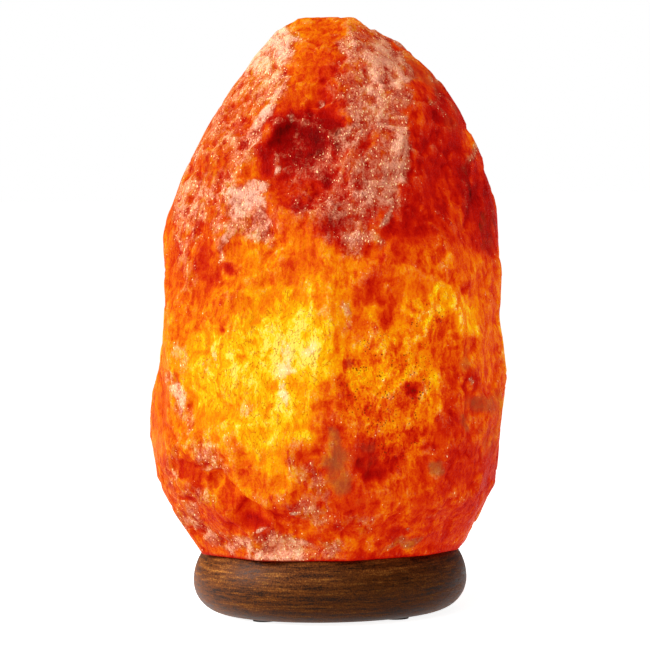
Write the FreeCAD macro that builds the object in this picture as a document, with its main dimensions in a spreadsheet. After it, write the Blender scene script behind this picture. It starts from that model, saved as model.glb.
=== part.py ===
"""Salt crystal lamp: a drilled lump of rock salt on a turned wooden foot, lit by a small bulb.

Millimetres, +Z up. The origin is the middle of the lamp's footprint on the table, -Y is the front
and the cord leaves at the back, +Y. The bulb, its lampholder and the spring-clip plate that carries
them pull out of the foot from below, and the bulb screws out of the lampholder.
"""

import FreeCAD
import Part
import math
import os
import re
import Sketcher
from FreeCAD import Placement, Rotation, Vector

# ---------------------------------------------------------------- driving sizes

SIZES = {
    # wooden foot, from the middle outwards
    "pad_thickness": 1.0,
    "pad_radius": 5.0,
    "pad_count": 4,
    "pad_wall": 2.5,
    "foot_thickness": 25.0,
    "foot_rim": 26.0,
    "foot_bottom_curve": 12.5,
    "foot_top_curve": 20.0,
    "foot_edge_round": 1.2,
    "foot_bore": 24.5,
    "recess_step": 4.5,
    "recess_depth": 13.0,
    "channel_width": 7.0,
    "channel_depth": 7.0,
    # screws that hold the stone, and their plugs
    "screw_count": 2,
    "screw_wall": 3.9,
    "screw_radius": 2.0,
    "screw_length": 42.0,
    "screw_point": 6.0,
    "screw_head_radius": 4.0,
    "screw_head_height": 2.6,
    "screw_head_bevel": 1.0,
    "screw_slot_width": 1.0,
    "screw_slot_length": 4.4,
    "screw_slot_depth": 1.3,
    "screw_pocket_gap": 0.6,
    "screw_pocket_depth": 7.0,
    "screw_hole_gap": 0.3,
    "plug_wall": 1.0,
    "plug_length": 25.0,
    "plug_gap": 0.05,
    "plug_hole_extra": 1.0,
    # stone
    "stone_width": 144.8,
    "stone_depth": 130.5,
    "stone_height": 212.5,
    "stone_bore": 24.0,
    "stone_bore_depth": 112.0,
    "stone_bore_tip": 5.0,
    "stone_bore_taper": 8.0,
    # plate and its fixings
    "plate_gap": 1.0,
    "plate_thickness": 1.0,
    "tube_radius": 5.0,
    "tube_wall": 1.4,
    "tube_below_nut": 1.2,
    "tube_above_plate": 8.0,
    "thread_gap": 0.05,
    "washer_radius": 8.0,
    "washer_thickness": 0.8,
    "nut_flats": 14.0,
    "nut_height": 3.0,
    "bush_bore": 3.0,
    "bush_flange": 0.8,
    "bush_length": 6.0,
    # spring clips
    "clip_count": 3,
    "clip_width": 8.0,
    "clip_thickness": 0.6,
    "clip_foot_start": 15.0,
    "clip_foot_end": 21.2,
    "clip_lip": 0.3,
    "clip_root_gap": 0.1,
    "clip_wall_gap": 0.3,
    "clip_contact_height": 30.0,
    "clip_tip_height": 39.0,
    "clip_tip_lean": 4.0,
    "rivet_place": 17.8,
    "rivet_radius": 1.5,
    "rivet_head_radius": 2.5,
    "rivet_head_height": 0.9,
    "rivet_gap": 0.05,
    # lampholder
    "holder_radius": 13.75,
    "holder_height": 46.0,
    "holder_wall": 1.6,
    "cap_height": 20.0,
    "cap_floor": 2.5,
    "cap_shoulder": 6.0,
    "cap_shoulder_inset": 3.25,
    "neck_radius": 7.5,
    "sleeve_gap": 0.1,
    "sleeve_tail": 6.0,
    "sleeve_wall": 1.5,
    "sleeve_mouth": 9.0,
    "sleeve_lip": 1.0,
    "block_top_height": 27.0,
    "block_height": 8.0,
    "block_gap": 0.1,
    "strip_width": 4.0,
    "strip_thickness": 0.6,
    "strip_slot_gap": 0.1,
    "shell_strip_place": 8.3,
    "centre_strip_place": 3.0,
    "tongue_rise": 0.2,
    "terminal_count": 2,
    "terminal_place": 6.0,
    "terminal_radius": 1.25,
    "terminal_length": 5.0,
    "terminal_head_radius": 2.3,
    "terminal_head_height": 1.8,
    "terminal_gap": 0.1,
    "terminal_hole_extra": 1.0,
    # bulb screw
    "thread_pitch": 2.82,
    "thread_mean_radius": 6.55,
    "thread_swing": 0.4,
    "thread_clearance": 0.2,
    "thread_end_gap": 1.0,
    "shell_height": 16.5,
    "shell_wall": 0.45,
    "shell_flange_radius": 8.7,
    "shell_flange_thickness": 0.4,
    # bulb
    "contact_rise": 2.0,
    "contact_gap": 0.2,
    "button_radius": 2.0,
    "button_height": 0.6,
    "button_bevel": 0.5,
    "insulator_rim": 0.4,
    "insulator_height": 2.4,
    "bulb_cap_length": 16.0,
    "bulb_cap_bore": 5.75,
    "bulb_cap_lip": 0.4,
    "bulb_cap_lip_reach": 1.0,
    "bulb_radius": 14.0,
    "bulb_wall": 0.8,
    "bulb_neck_gap": 0.15,
    "bulb_neck_start": 4.0,
    "bulb_equator": 38.5,
    "stem_gap": 0.2,
    "stem_flare": 1.2,
    "stem_narrowing": 2.4,
    "stem_radius": 2.4,
    "stem_length": 16.0,
    "stem_rod_radius": 0.8,
    "stem_rod_length": 5.0,
    "lead_radius": 0.3,
    "lead_root": 1.6,
    "lead_rise": 4.0,
    "filament_half_span": 8.0,
    "filament_height": 0.5,
    "filament_sag": 2.5,
    "filament_swing": 3.0,
    "filament_radius": 0.35,
    "support_radius": 0.2,
}

# The next tables draw the stone at its own three sizes above, before any of them is changed; a
# change stretches all that they draw.
DRAWN_STONE = (144.8, 130.5, 212.5)

# The stone's outline at each level, bottom to top: the step up from the level below, then how far
# the stone reaches to the left, right, front and back of the lamp's axis.
STONE_LEVELS = [
    (0.0, 52.0, 52.0, 51.0, 50.0),
    (10.0, 58.5, 59.5, 56.5, 55.0),
    (12.0, 66.5, 66.0, 61.5, 59.0),
    (16.0, 70.5, 69.8, 63.8, 62.6),
    (20.0, 71.8, 72.2, 64.7, 63.8),
    (18.0, 69.2, 72.6, 63.8, 65.2),
    (16.0, 66.0, 70.5, 61.5, 64.6),
    (18.0, 64.5, 70.5, 59.5, 62.0),
    (16.0, 64.5, 71.0, 56.5, 60.0),
    (16.0, 59.2, 69.5, 51.5, 56.5),
    (16.0, 52.5, 63.0, 45.5, 51.0),
    (16.0, 43.5, 55.5, 38.5, 44.5),
    (14.0, 34.5, 47.0, 31.0, 36.5),
    (12.0, 26.3, 33.5, 22.5, 27.5),
    (8.0, 17.7, 23.0, 14.5, 18.5),
    (4.5, 8.0, 14.5, 7.5, 9.5),
]
LEVEL_WORDS = ("step", "left", "right", "front", "back")

# Ridges and hollows on the stone: direction round the axis in degrees (0 right, 90 back, 180 left,
# 270 front), height above the foot, reach outwards (negative for a hollow), half width in degrees
# and half height.
STONE_RELIEF = {
    "crown_ridge": (302, 150, 4.5, 15, 34),
    "crown_hollow": (262, 118, -3.0, 24, 20),
    "right_plane": (338, 128, -3.0, 15, 36),
    "belly": (262, 52, 2.5, 34, 30),
    "left_boss": (214, 40, 3.0, 13, 18),
    "left_groove": (236, 22, -4.5, 9, 13),
    "chin_boss": (252, 14, 2.5, 9, 10),
    "right_boss": (318, 40, 2.5, 14, 24),
    "left_shoulder": (206, 128, 3.0, 16, 26),
    "back_ridge": (66, 96, 4.5, 14, 44),
    "back_hollow": (98, 62, -4.5, 18, 26),
    "back_boss": (128, 40, 4.0, 16, 22),
    "back_left_plane": (146, 118, -4.0, 18, 34),
    "back_crown": (112, 158, 3.0, 18, 22),
    "back_right_boss": (28, 42, 3.5, 14, 22),
}

# Flats broken off the stone, each a plane: the way it faces round the axis in degrees, how far it
# tips upwards in degrees, and how deep it cuts below the farthest that the stone reaches that way.
STONE_FLATS = [
    # round the bottom edge
    (222, -33, 1.8), (262, -30, 1.6), (296, -32, 1.9), (325, -34, 1.2), (352, -30, 0.8),
    (24, -31, 2.2), (66, -30, 2.0), (104, -33, 2.0), (142, -30, 2.2), (184, -33, 0.6),
    # under the belly
    (206, -15, 1.0), (238, -12, 1.8), (272, -16, 1.4), (311, -14, 1.9), (342, -18, 0.8),
    (4, -20, 0.8), (32, -17, 2.0), (82, -14, 2.2), (128, -12, 2.2), (170, -17, 0.9),
    # belly
    (186, -7, 0.7), (217, -3, 1.4), (253, -4, 1.5), (290, -3, 1.7), (321, -4, 1.8), (357, -7, 1.0),
    (18, -3, 1.6), (56, -5, 2.4), (90, 0, 0.0), (108, -2, 2.4), (152, -4, 2.2),
    # waist
    (198, 3, 1.2), (181, 3, 0.8), (233, 4, 2.0), (264, 2, 1.5), (281, 5, 1.6), (305, 3, 2.0), (334, 4, 1.6),
    (1, 2, 0.6), (38, 4, 2.2), (74, 6, 2.8), (124, 5, 2.4), (158, 3, 2.0),
    # upper body
    (180, 9, 0.9), (212, 10, 1.6), (240, 12, 1.8), (258, 9, 1.6), (276, 12, 1.5), (296, 9, 1.8), (325, 11, 1.6),
    (354, 13, 0.8), (30, 13, 2.2), (66, 11, 2.8), (100, 13, 2.6), (136, 10, 2.4), (168, 13, 1.6),
    # shoulders
    (194, 21, 0.9), (176, 24, 0.8), (220, 20, 2.0), (249, 18, 1.6), (274, 20, 1.6), (301, 15, 1.6), (321, 19, 3.0),
    (346, 25, 0.8), (10, 24, 1.0), (52, 18, 2.6), (88, 21, 2.4), (126, 22, 2.4), (160, 21, 2.0),
    # crown
    (186, 33, 0.7), (214, 35, 1.5), (238, 29, 1.6), (261, 33, 1.8), (281, 32, 1.6), (331, 34, 1.2),
    (2, 36, 0.6), (36, 32, 2.2), (82, 31, 2.2), (122, 35, 1.8), (158, 33, 1.6),
    (206, 50, 0.6), (268, 47, 0.8), (312, 52, 0.8), (60, 50, 1.2), (136, 54, 1.0),
    (176, 46, 0.4), (356, 46, 0.5), (352, 58, 0.4), (182, 62, 0.4), (290, 72, 0.4), (20, 65, 0.5),
    (100, 70, 0.5),
]

# Hollows broken out of the stone, each the dent of a ball: direction round the axis in degrees and
# height above the foot of its deepest point, how deep it is and the ball's radius.
STONE_HOLLOWS = [
    # waists on the left and right
    (182, 108, 4.0, 150), (2, 93, 2.8, 150),
    # front: under the top, left, middle, low on the right and low on the left
    (259, 165, 3.2, 42), (268, 157, 1.8, 30), (249, 160, 1.6, 26),
    (239, 123, 1.8, 26), (246, 131, 1.0, 22),
    (288, 105, 1.4, 20), (293, 97, 1.0, 16),
    (284, 34, 1.8, 30), (291, 41, 1.2, 24),
    (322, 58, 1.2, 30),
    (240, 15, 3.4, 15), (233, 24, 2.2, 18), (227, 31, 1.6, 14), (219, 37, 1.2, 12),
    # back
    (64, 104, 2.6, 60), (74, 93, 1.8, 50),
    (97, 62, 4.0, 52), (87, 50, 2.6, 40), (106, 75, 2.0, 44),
    (118, 132, 2.6, 62), (108, 121, 1.6, 48),
    (146, 58, 2.2, 46), (155, 67, 1.4, 36),
    (36, 44, 2.0, 42), (28, 55, 1.2, 34),
    (88, 160, 2.2, 40), (98, 169, 1.4, 32),
]
OUTLINE_POINTS = 36
SECTION_SQUARENESS = 2.35
FULL_RELIEF_WIDTH = 100.0

PAD_START_ANGLE = 45.0
CLIP_START_ANGLE = 30.0
CUT_PAST = 1.0
SECTIONS_PER_TURN = 8

# Places that follow from the sizes, each worked out once.
PLACES = {
    "foot_top": "pad_thickness + foot_thickness",
    "foot_waist": "pad_thickness + foot_bottom_curve",
    "recess_radius": "foot_bore + recess_step",
    "foot_radius": "recess_radius + foot_rim",
    "foot_top_radius": "foot_radius - foot_top_curve + sqrt(foot_top_curve ^ 2 - foot_top_rise ^ 2)",
    "foot_top_rise": "foot_thickness - foot_bottom_curve",
    "ledge": "pad_thickness + recess_depth",
    "pad_place": "recess_radius + pad_wall + pad_radius",
    "screw_pocket_radius": "screw_head_radius + screw_pocket_gap",
    "screw_place": "recess_radius + screw_wall + screw_pocket_radius",
    "screw_seat": "pad_thickness + screw_pocket_depth",
    "plug_bore": "screw_radius + plug_gap",
    "plug_radius": "plug_bore + plug_wall",
    "plug_hole_radius": "plug_radius + plug_gap",
    "plug_hole_depth": "plug_length + plug_hole_extra",
    "plate_radius": "recess_radius - plate_gap",
    "plate_bottom": "ledge - plate_thickness",
    "nut_top": "plate_bottom - washer_thickness",
    "nut_bottom": "nut_top - nut_height",
    "tube_bottom": "nut_bottom - tube_below_nut",
    "tube_top": "ledge + tube_above_plate",
    "tube_bore": "tube_radius - tube_wall",
    "screwed_bore": "tube_radius + thread_gap",
    "bush_bottom": "tube_bottom - bush_flange",
    "clip_foot_top": "ledge + clip_thickness",
    "clip_pivot": "clip_foot_top + clip_lip + clip_root_gap / 2",
    "clip_reach": "sqrt((stone_bore - clip_wall_gap) ^ 2 - (clip_width / 2) ^ 2)",
    "cap_top": "ledge + cap_height",
    "cap_inner": "holder_radius - holder_wall",
    "holder_top": "ledge + holder_height",
    "tail_radius": "cap_inner - sleeve_gap",
    "tail_bottom": "cap_top - sleeve_tail",
    "block_seat": "tail_radius - sleeve_wall",
    "block_radius": "block_seat - block_gap",
    "block_top": "ledge + block_top_height",
    "block_bottom": "block_top - block_height",
    "strip_bottom": "block_bottom - strip_thickness",
    "shell_top": "block_top + shell_height",
    "bulb_tip": "block_top + contact_rise",
    "insulator_bottom": "bulb_tip + button_height",
    "bulb_cap_bottom": "insulator_bottom + insulator_height",
    "bulb_cap_top": "bulb_cap_bottom + bulb_cap_length",
    "bulb_neck": "bulb_cap_bore - bulb_neck_gap",
    "neck_bottom": "bulb_cap_bottom + bulb_neck_start",
    "bulb_middle": "bulb_cap_bottom + bulb_equator",
    "stem_top": "neck_bottom + stem_length",
    "filament_level": "bulb_middle - filament_height",
}
WORD = re.compile(r"[a-z][a-z0-9_]+")


# ---------------------------------------------------------------- document and expressions

doc = FreeCAD.newDocument("salt_crystal_lamp")
sheet = doc.addObject("Spreadsheet::Sheet", "dims")
NODES = {}


def fill_sheet():
    """Puts every driving size in a cell of its own, named by an alias."""
    rows = dict(SIZES)
    for level, values in enumerate(STONE_LEVELS):
        for word, value in zip(LEVEL_WORDS, values):
            rows[f"stone_{word}_{level}"] = value
    for row, (name, value) in enumerate(rows.items(), start=1):
        sheet.set(f"A{row}", name)
        sheet.set(f"B{row}", str(value))
        sheet.setAlias(f"B{row}", name)
    doc.recompute()


def bound(text):
    """An expression in the names above, spelled out in the sheet's cells."""

    def cell(found):
        word = found[0]
        if word in PLACES:
            return f"({bound(PLACES[word])})"
        return f"dims.{word}" if word in SIZES else word

    return WORD.sub(cell, text)


def value(text):
    """What an expression in those names comes to."""
    return float(sheet.evalExpression(bound(text)))


def new_body(label):
    """A body that stands for one piece."""
    body = doc.addObject("PartDesign::Body", label)
    body.Label = label
    return body


def new_sketch(body, plane_role, name):
    """A sketch on one of the body's own origin planes."""
    plane = next(f for f in body.Origin.OriginFeatures if f.Role == plane_role)
    sketch = body.newObject("Sketcher::SketchObject", name)
    sketch.AttachmentSupport = [(plane, "")]
    sketch.MapMode = "FlatFace"
    return sketch


def pin(sketch, edge, end, across, up):
    """Ties an end of an edge to its two coordinates, each an expression."""
    for kind, text in (("DistanceX", across), ("DistanceY", up)):
        number = value(text)
        index = sketch.addConstraint(Sketcher.Constraint(kind, -1, 1, edge, end, number))
        if WORD.search(text):
            sketch.setExpression(f"Constraints[{index}]", bound(text))


def arc_between(start, end, radius, side):
    """An arc and whether it runs from start to end. side is 1 with its centre on the left."""
    chord = end - start
    half = chord.Length / 2
    across = Vector(-chord.y, chord.x, 0).normalize() * side
    centre = start + chord / 2 + across * math.sqrt(radius * radius - half * half)
    angles = [math.atan2(p.y - centre.y, p.x - centre.x) for p in (start, end)]
    if side < 0:
        angles.reverse()
    return Part.ArcOfCircle(Part.Circle(centre, Vector(0, 0, 1), radius), *angles), side > 0


def draw_outline(sketch, corners):
    """Draws a closed outline. A corner is (across, up), or (across, up, radius, side) where an arc
    of that radius leads to the next corner."""
    points = [Vector(value(c[0]), value(c[1]), 0) for c in corners]
    ends = []
    for index, corner in enumerate(corners):
        start, end = points[index], points[(index + 1) % len(corners)]
        if len(corner) == 2:
            sketch.addGeometry(Part.LineSegment(start, end), False)
            ends.append((1, 2))
        else:
            arc, forward = arc_between(start, end, value(corner[2]), corner[3])
            sketch.addGeometry(arc, False)
            ends.append((1, 2) if forward else (2, 1))
    for index, corner in enumerate(corners):
        after = (index + 1) % len(corners)
        sketch.addConstraint(
            Sketcher.Constraint("Coincident", index, ends[index][1], after, ends[after][0])
        )
        pin(sketch, index, ends[index][0], corner[0], corner[1])
        if len(corner) > 2:
            number = sketch.addConstraint(Sketcher.Constraint("Radius", index, value(corner[2])))
            sketch.setExpression(f"Constraints[{number}]", bound(corner[2]))


def draw_circle(sketch, across, up, radius):
    """Draws a circle at a place, each measure an expression."""
    centre = Vector(value(across), value(up), 0)
    index = sketch.addGeometry(Part.Circle(centre, Vector(0, 0, 1), value(radius)), False)
    pin(sketch, index, 3, across, up)
    number = sketch.addConstraint(Sketcher.Constraint("Radius", index, value(radius)))
    sketch.setExpression(f"Constraints[{number}]", bound(radius))


def turned(label, corners):
    """A body turned about the lamp's axis, from an outline of (radius, height)."""
    body = new_body(label)
    sketch = new_sketch(body, "XZ_Plane", f"{label}_profile")
    draw_outline(sketch, corners)
    turn = body.newObject("PartDesign::Revolution", f"{label}_turn")
    turn.Profile = sketch
    turn.ReferenceAxis = (sketch, ["V_Axis"])
    turn.Angle = 360
    doc.recompute()
    return body


def pocket_up(body, name, draw, depth):
    """Cuts upwards from the table's plane, through what the body has to that height."""
    sketch = new_sketch(body, "XY_Plane", f"{name}_sketch")
    draw(sketch)
    before = body.Shape.Volume
    cut = body.newObject("PartDesign::Pocket", name)
    cut.Profile = sketch
    cut.Reversed = True
    cut.Length = value(depth)
    cut.setExpression("Length", bound(depth))
    doc.recompute()
    if body.Shape.Volume >= before:
        raise RuntimeError(f"{name} cut nothing")
    return cut


def pattern_round(body, name, features, count):
    """Repeats features of a body round the lamp's axis."""
    pattern = body.newObject("PartDesign::PolarPattern", name)
    pattern.Originals = features
    pattern.Axis = (features[0].Profile[0], ["N_Axis"])
    pattern.Angle = 360
    pattern.Occurrences = int(value(count))
    body.Tip = pattern
    doc.recompute()
    return pattern


def strip(label, corners, width):
    """A body padded to both sides of the XZ plane, such as a strip of sheet metal seen edge on."""
    body = new_body(label)
    sketch = new_sketch(body, "XZ_Plane", f"{label}_profile")
    draw_outline(sketch, corners)
    pad = body.newObject("PartDesign::Pad", f"{label}_pad")
    pad.Profile = sketch
    pad.SideType = "Symmetric"
    pad.Length = value(width)
    pad.setExpression("Length", bound(width))
    doc.recompute()
    return body


def cylinder(label, radius, bottom, top, across="0"):
    """A Part cylinder about a vertical axis, each measure an expression."""
    made = doc.addObject("Part::Cylinder", label)
    made.setExpression("Radius", bound(radius))
    made.setExpression("Height", bound(f"({top}) - ({bottom})"))
    made.setExpression("Placement.Base.z", bound(bottom))
    made.setExpression("Placement.Base.x", bound(across))
    return made


def cut_from(label, whole, *tools):
    """What is left of a shape when the tools are cut from it."""
    tool = tools[0]
    if len(tools) > 1:
        tool = doc.addObject("Part::MultiFuse", f"{label}_tools")
        tool.Shapes = list(tools)
    made = doc.addObject("Part::Cut", label)
    made.Base = whole
    made.Tool = tool
    doc.recompute()
    return made


def turned_copies(shape, count, first_angle=0.0):
    """Copies of a shape, evenly spaced round the lamp's axis."""
    angles = [first_angle + 360.0 * k / count for k in range(count)]
    copies = []
    for angle in angles:
        copy = shape.copy()
        copy.rotate(Vector(0, 0, 0), Vector(0, 0, 1), angle)
        copies.append(copy)
    return copies


def shaped(label, shape):
    """A piece whose shape is worked out here from the sheet's sizes."""
    made = doc.addObject("Part::Feature", label)
    made.Label = label
    made.Shape = shape
    return made


def keep(name, thing):
    """Lists a piece for the parts folder."""
    thing.Label = name
    NODES[name] = thing
    return thing


# ---------------------------------------------------------------- wooden foot and its fixings

def make_foot():
    """The turned wooden foot: bulged side, bore for the bulb, recess below and a cord channel."""
    body = turned(
        "foot_body",
        [
            ("foot_bore", "ledge"),
            ("recess_radius", "ledge"),
            ("recess_radius", "pad_thickness"),
            ("foot_radius - foot_bottom_curve", "pad_thickness", "foot_bottom_curve", 1),
            ("foot_radius", "foot_waist", "foot_top_curve", 1),
            ("foot_top_radius", "foot_top"),
            ("foot_bore", "foot_top"),
        ],
    )
    round_over_top_edge(body)
    pocket_up(
        body,
        "cord_channel",
        lambda sketch: draw_outline(
            sketch,
            [
                ("-channel_width / 2", "foot_bore"),
                ("channel_width / 2", "foot_bore"),
                ("channel_width / 2", f"foot_radius + {CUT_PAST}"),
                ("-channel_width / 2", f"foot_radius + {CUT_PAST}"),
            ],
        ),
        "pad_thickness + channel_depth",
    )
    hole = pocket_up(
        body,
        "screw_hole",
        lambda sketch: draw_circle(sketch, "screw_place", "0", "screw_radius + screw_hole_gap"),
        f"foot_top + {CUT_PAST}",
    )
    head_pocket = pocket_up(
        body,
        "screw_pocket",
        lambda sketch: draw_circle(sketch, "screw_place", "0", "screw_pocket_radius"),
        "screw_seat",
    )
    pattern_round(body, "screw_holes", [hole, head_pocket], "screw_count")
    return keep("wood_base", body)


def round_over_top_edge(body):
    """Eases the edge where the bulged side meets the flat top."""
    top, radius = value("foot_top"), value("foot_top_radius")
    turn = body.Tip
    for index, edge in enumerate(body.Shape.Edges, start=1):
        curve = edge.Curve
        if not isinstance(curve, Part.Circle) or abs(curve.Center.z - top) > 1e-6:
            continue
        if abs(curve.Radius - radius) < 1e-6:
            fillet = body.newObject("PartDesign::Fillet", "foot_top_round")
            fillet.Base = (turn, [f"Edge{index}"])
            fillet.setExpression("Radius", bound("foot_edge_round"))
            doc.recompute()
            return
    raise RuntimeError("the foot has no top edge to round")


def make_pads():
    """Felt pads under the foot, between the screws and clear of the cord channel."""
    pad = cylinder("felt_pad", "pad_radius", "0", "pad_thickness", across="pad_place")
    doc.recompute()
    pads = turned_copies(pad.Shape, int(value("pad_count")), PAD_START_ANGLE)
    return keep("felt_pads", shaped("felt_pad_ring", Part.makeCompound(pads)))


def make_screws():
    """Pan-head screws up through the foot into the stone, each with a crossed slot."""
    side = "screw_place"
    body = new_body("screw_body")
    sketch = new_sketch(body, "XZ_Plane", "screw_profile")
    draw_outline(
        sketch,
        [
            (side, "screw_seat - screw_head_height"),
            (f"{side} + screw_head_radius - screw_head_bevel", "screw_seat - screw_head_height"),
            (f"{side} + screw_head_radius", "screw_seat - screw_head_height + screw_head_bevel"),
            (f"{side} + screw_head_radius", "screw_seat"),
            (f"{side} + screw_radius", "screw_seat"),
            (f"{side} + screw_radius", "screw_seat + screw_length - screw_point"),
            (side, "screw_seat + screw_length"),
        ],
    )
    turn = body.newObject("PartDesign::Revolution", "screw_turn")
    turn.Profile = sketch
    turn.ReferenceAxis = (sketch, ["Edge7"])
    turn.Angle = 360
    doc.recompute()
    for name, wide, deep in (
        ("slot_across", "screw_slot_length", "screw_slot_width"),
        ("slot_along", "screw_slot_width", "screw_slot_length"),
    ):
        pocket_up(
            body,
            name,
            lambda sketch, wide=wide, deep=deep: draw_outline(
                sketch,
                [
                    (f"{side} - {wide} / 2", f"-{deep} / 2"),
                    (f"{side} + {wide} / 2", f"-{deep} / 2"),
                    (f"{side} + {wide} / 2", f"{deep} / 2"),
                    (f"{side} - {wide} / 2", f"{deep} / 2"),
                ],
            ),
            "screw_seat - screw_head_height + screw_slot_depth",
        )
    screws = turned_copies(body.Shape, int(value("screw_count")))
    return keep("base_screws", shaped("base_screw_ring", Part.makeCompound(screws)))


def make_plugs():
    """Ribless nylon plugs in the stone's underside, which the screws bite into."""
    whole = cylinder("plug_blank", "plug_radius", "foot_top", "foot_top + plug_length", "screw_place")
    bore = cylinder("plug_core", "plug_bore", "foot_top", "foot_top + plug_length", "screw_place")
    plug = cut_from("plug", whole, bore)
    plugs = turned_copies(plug.Shape, int(value("screw_count")))
    return keep("screw_plugs", shaped("screw_plug_ring", Part.makeCompound(plugs)))


# ---------------------------------------------------------------- stone

def reach(left, right, front, back, angle):
    """How far a rounded-square outline reaches in a direction."""
    across = right if math.cos(angle) >= 0 else left
    along = back if math.sin(angle) >= 0 else front
    share_x = abs(math.cos(angle)) / across
    share_y = abs(math.sin(angle)) / along
    power = SECTION_SQUARENESS
    return (share_x ** power + share_y ** power) ** (-1 / power)


def relief(angle, height):
    """How far the ridges and hollows move the stone's surface outwards there."""
    total = 0.0
    for direction, level, out, half_width, half_height in STONE_RELIEF.values():
        turn = (math.degrees(angle) - direction + 180) % 360 - 180
        total += out * math.exp(-((turn / half_width) ** 2) - ((height - level) / half_height) ** 2)
    return total


def stone_stretch():
    """How much wider, deeper and taller the stone is than its tables draw it."""
    sizes = (value("stone_width"), value("stone_depth"), value("stone_height"))
    return [size / drawn for size, drawn in zip(sizes, DRAWN_STONE)]


def stone_points():
    """Points on the stone's outline at each of its levels."""
    stretch = stone_stretch()
    points = []
    height = 0.0
    for level in range(len(STONE_LEVELS)):
        height += value_of_level("step", level)
        extents = [value_of_level(word, level) for word in LEVEL_WORDS[1:]]
        fade = min(1.0, (extents[0] + extents[1]) / FULL_RELIEF_WIDTH)
        for k in range(OUTLINE_POINTS):
            angle = 2 * math.pi * k / OUTLINE_POINTS
            radius = reach(*extents, angle) + relief(angle, height) * fade
            drawn = (radius * math.cos(angle), radius * math.sin(angle), height)
            points.append(Vector(*(size * share for size, share in zip(drawn, stretch))))
    return points


def stone_planes():
    """Each flat of the stone as the way it faces and how far out it lies that way."""
    points = stone_points()
    planes = []
    for direction, tip, depth in STONE_FLATS:
        yaw, pitch = math.radians(direction), math.radians(tip)
        outward = Vector(
            math.cos(pitch) * math.cos(yaw), math.cos(pitch) * math.sin(yaw), math.sin(pitch)
        )
        planes.append((outward, max(point.dot(outward) for point in points) - depth))
    return planes


def broken_block(planes):
    """A block as tall as the stone with every flat sliced off it."""
    far = 4 * value("stone_height")
    block = Part.makeBox(far, far, value("stone_height"), Vector(-far / 2, -far / 2, 0))
    for outward, distance in planes:
        waste = Part.makeBox(2 * far, 2 * far, far, Vector(-far, -far, 0))
        turn = Rotation(Vector(0, 0, 1), outward)
        waste.Placement = Placement(outward * distance, turn).multiply(waste.Placement)
        block = block.cut(waste)
    return block


def dented(block, planes):
    """The block with each of the stone's hollows broken out of it."""
    stretch = stone_stretch()
    for direction, level, depth, ball in STONE_HOLLOWS:
        way = Vector(math.cos(math.radians(direction)), math.sin(math.radians(direction)), 0)
        height = level * stretch[2]
        skin = min(
            (distance - height * outward.z) / way.dot(outward)
            for outward, distance in planes
            if way.dot(outward) > 0
        )
        middle = way * (skin - depth + ball) + Vector(0, 0, height)
        block = block.cut(Part.makeSphere(ball, middle))
    return block


def value_of_level(word, level):
    """A stone level's size, read from the sheet."""
    return float(sheet.get(f"stone_{word}_{level}"))


def make_stone():
    """The rock: a block broken to flats and hollows, then drilled for the bulb and the plugs."""
    planes = stone_planes()
    rough = shaped("rough_stone", dented(broken_block(planes), planes))
    rough.Placement = Placement(Vector(0, 0, value("foot_top")), Rotation())
    bore_top = "foot_top + stone_bore_depth"
    below = f"foot_top - {CUT_PAST}"
    bore = cylinder("stone_bore_drill", "stone_bore", below, bore_top)
    tip = doc.addObject("Part::Cone", "stone_bore_end")
    tip.setExpression("Radius1", bound("stone_bore"))
    tip.setExpression("Radius2", bound("stone_bore - stone_bore_taper"))
    tip.setExpression("Height", bound("stone_bore_tip"))
    tip.setExpression("Placement.Base.z", bound(bore_top))
    drill = cylinder(
        "plug_drill", "plug_hole_radius", below, "foot_top + plug_hole_depth", "screw_place"
    )
    doc.recompute()
    holes = turned_copies(drill.Shape, int(value("screw_count")))
    drills = shaped("plug_drills", Part.makeCompound(holes))
    return keep("salt_crystal", cut_from("drilled_stone", rough, bore, tip, drills))


# ---------------------------------------------------------------- plate, tube and clips

def make_plate():
    """The pressed steel plate that stops against the foot's ledge."""
    body = turned(
        "plate_body",
        [
            ("screwed_bore", "plate_bottom"),
            ("plate_radius", "plate_bottom"),
            ("plate_radius", "ledge"),
            ("screwed_bore", "ledge"),
        ],
    )
    hole = pocket_up(
        body,
        "rivet_hole",
        lambda sketch: draw_circle(sketch, "rivet_place", "0", "rivet_radius + rivet_gap"),
        f"ledge + {CUT_PAST}",
    )
    pattern_round(body, "rivet_holes", [hole], "clip_count")
    turn_to_clips(body)
    return keep("holder_plate", body)


def turn_to_clips(thing):
    """Turns what was drawn along +X to the first clip's direction."""
    thing.Placement = Placement(Vector(0, 0, 0), Rotation(Vector(0, 0, 1), CLIP_START_ANGLE))
    doc.recompute()


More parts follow.
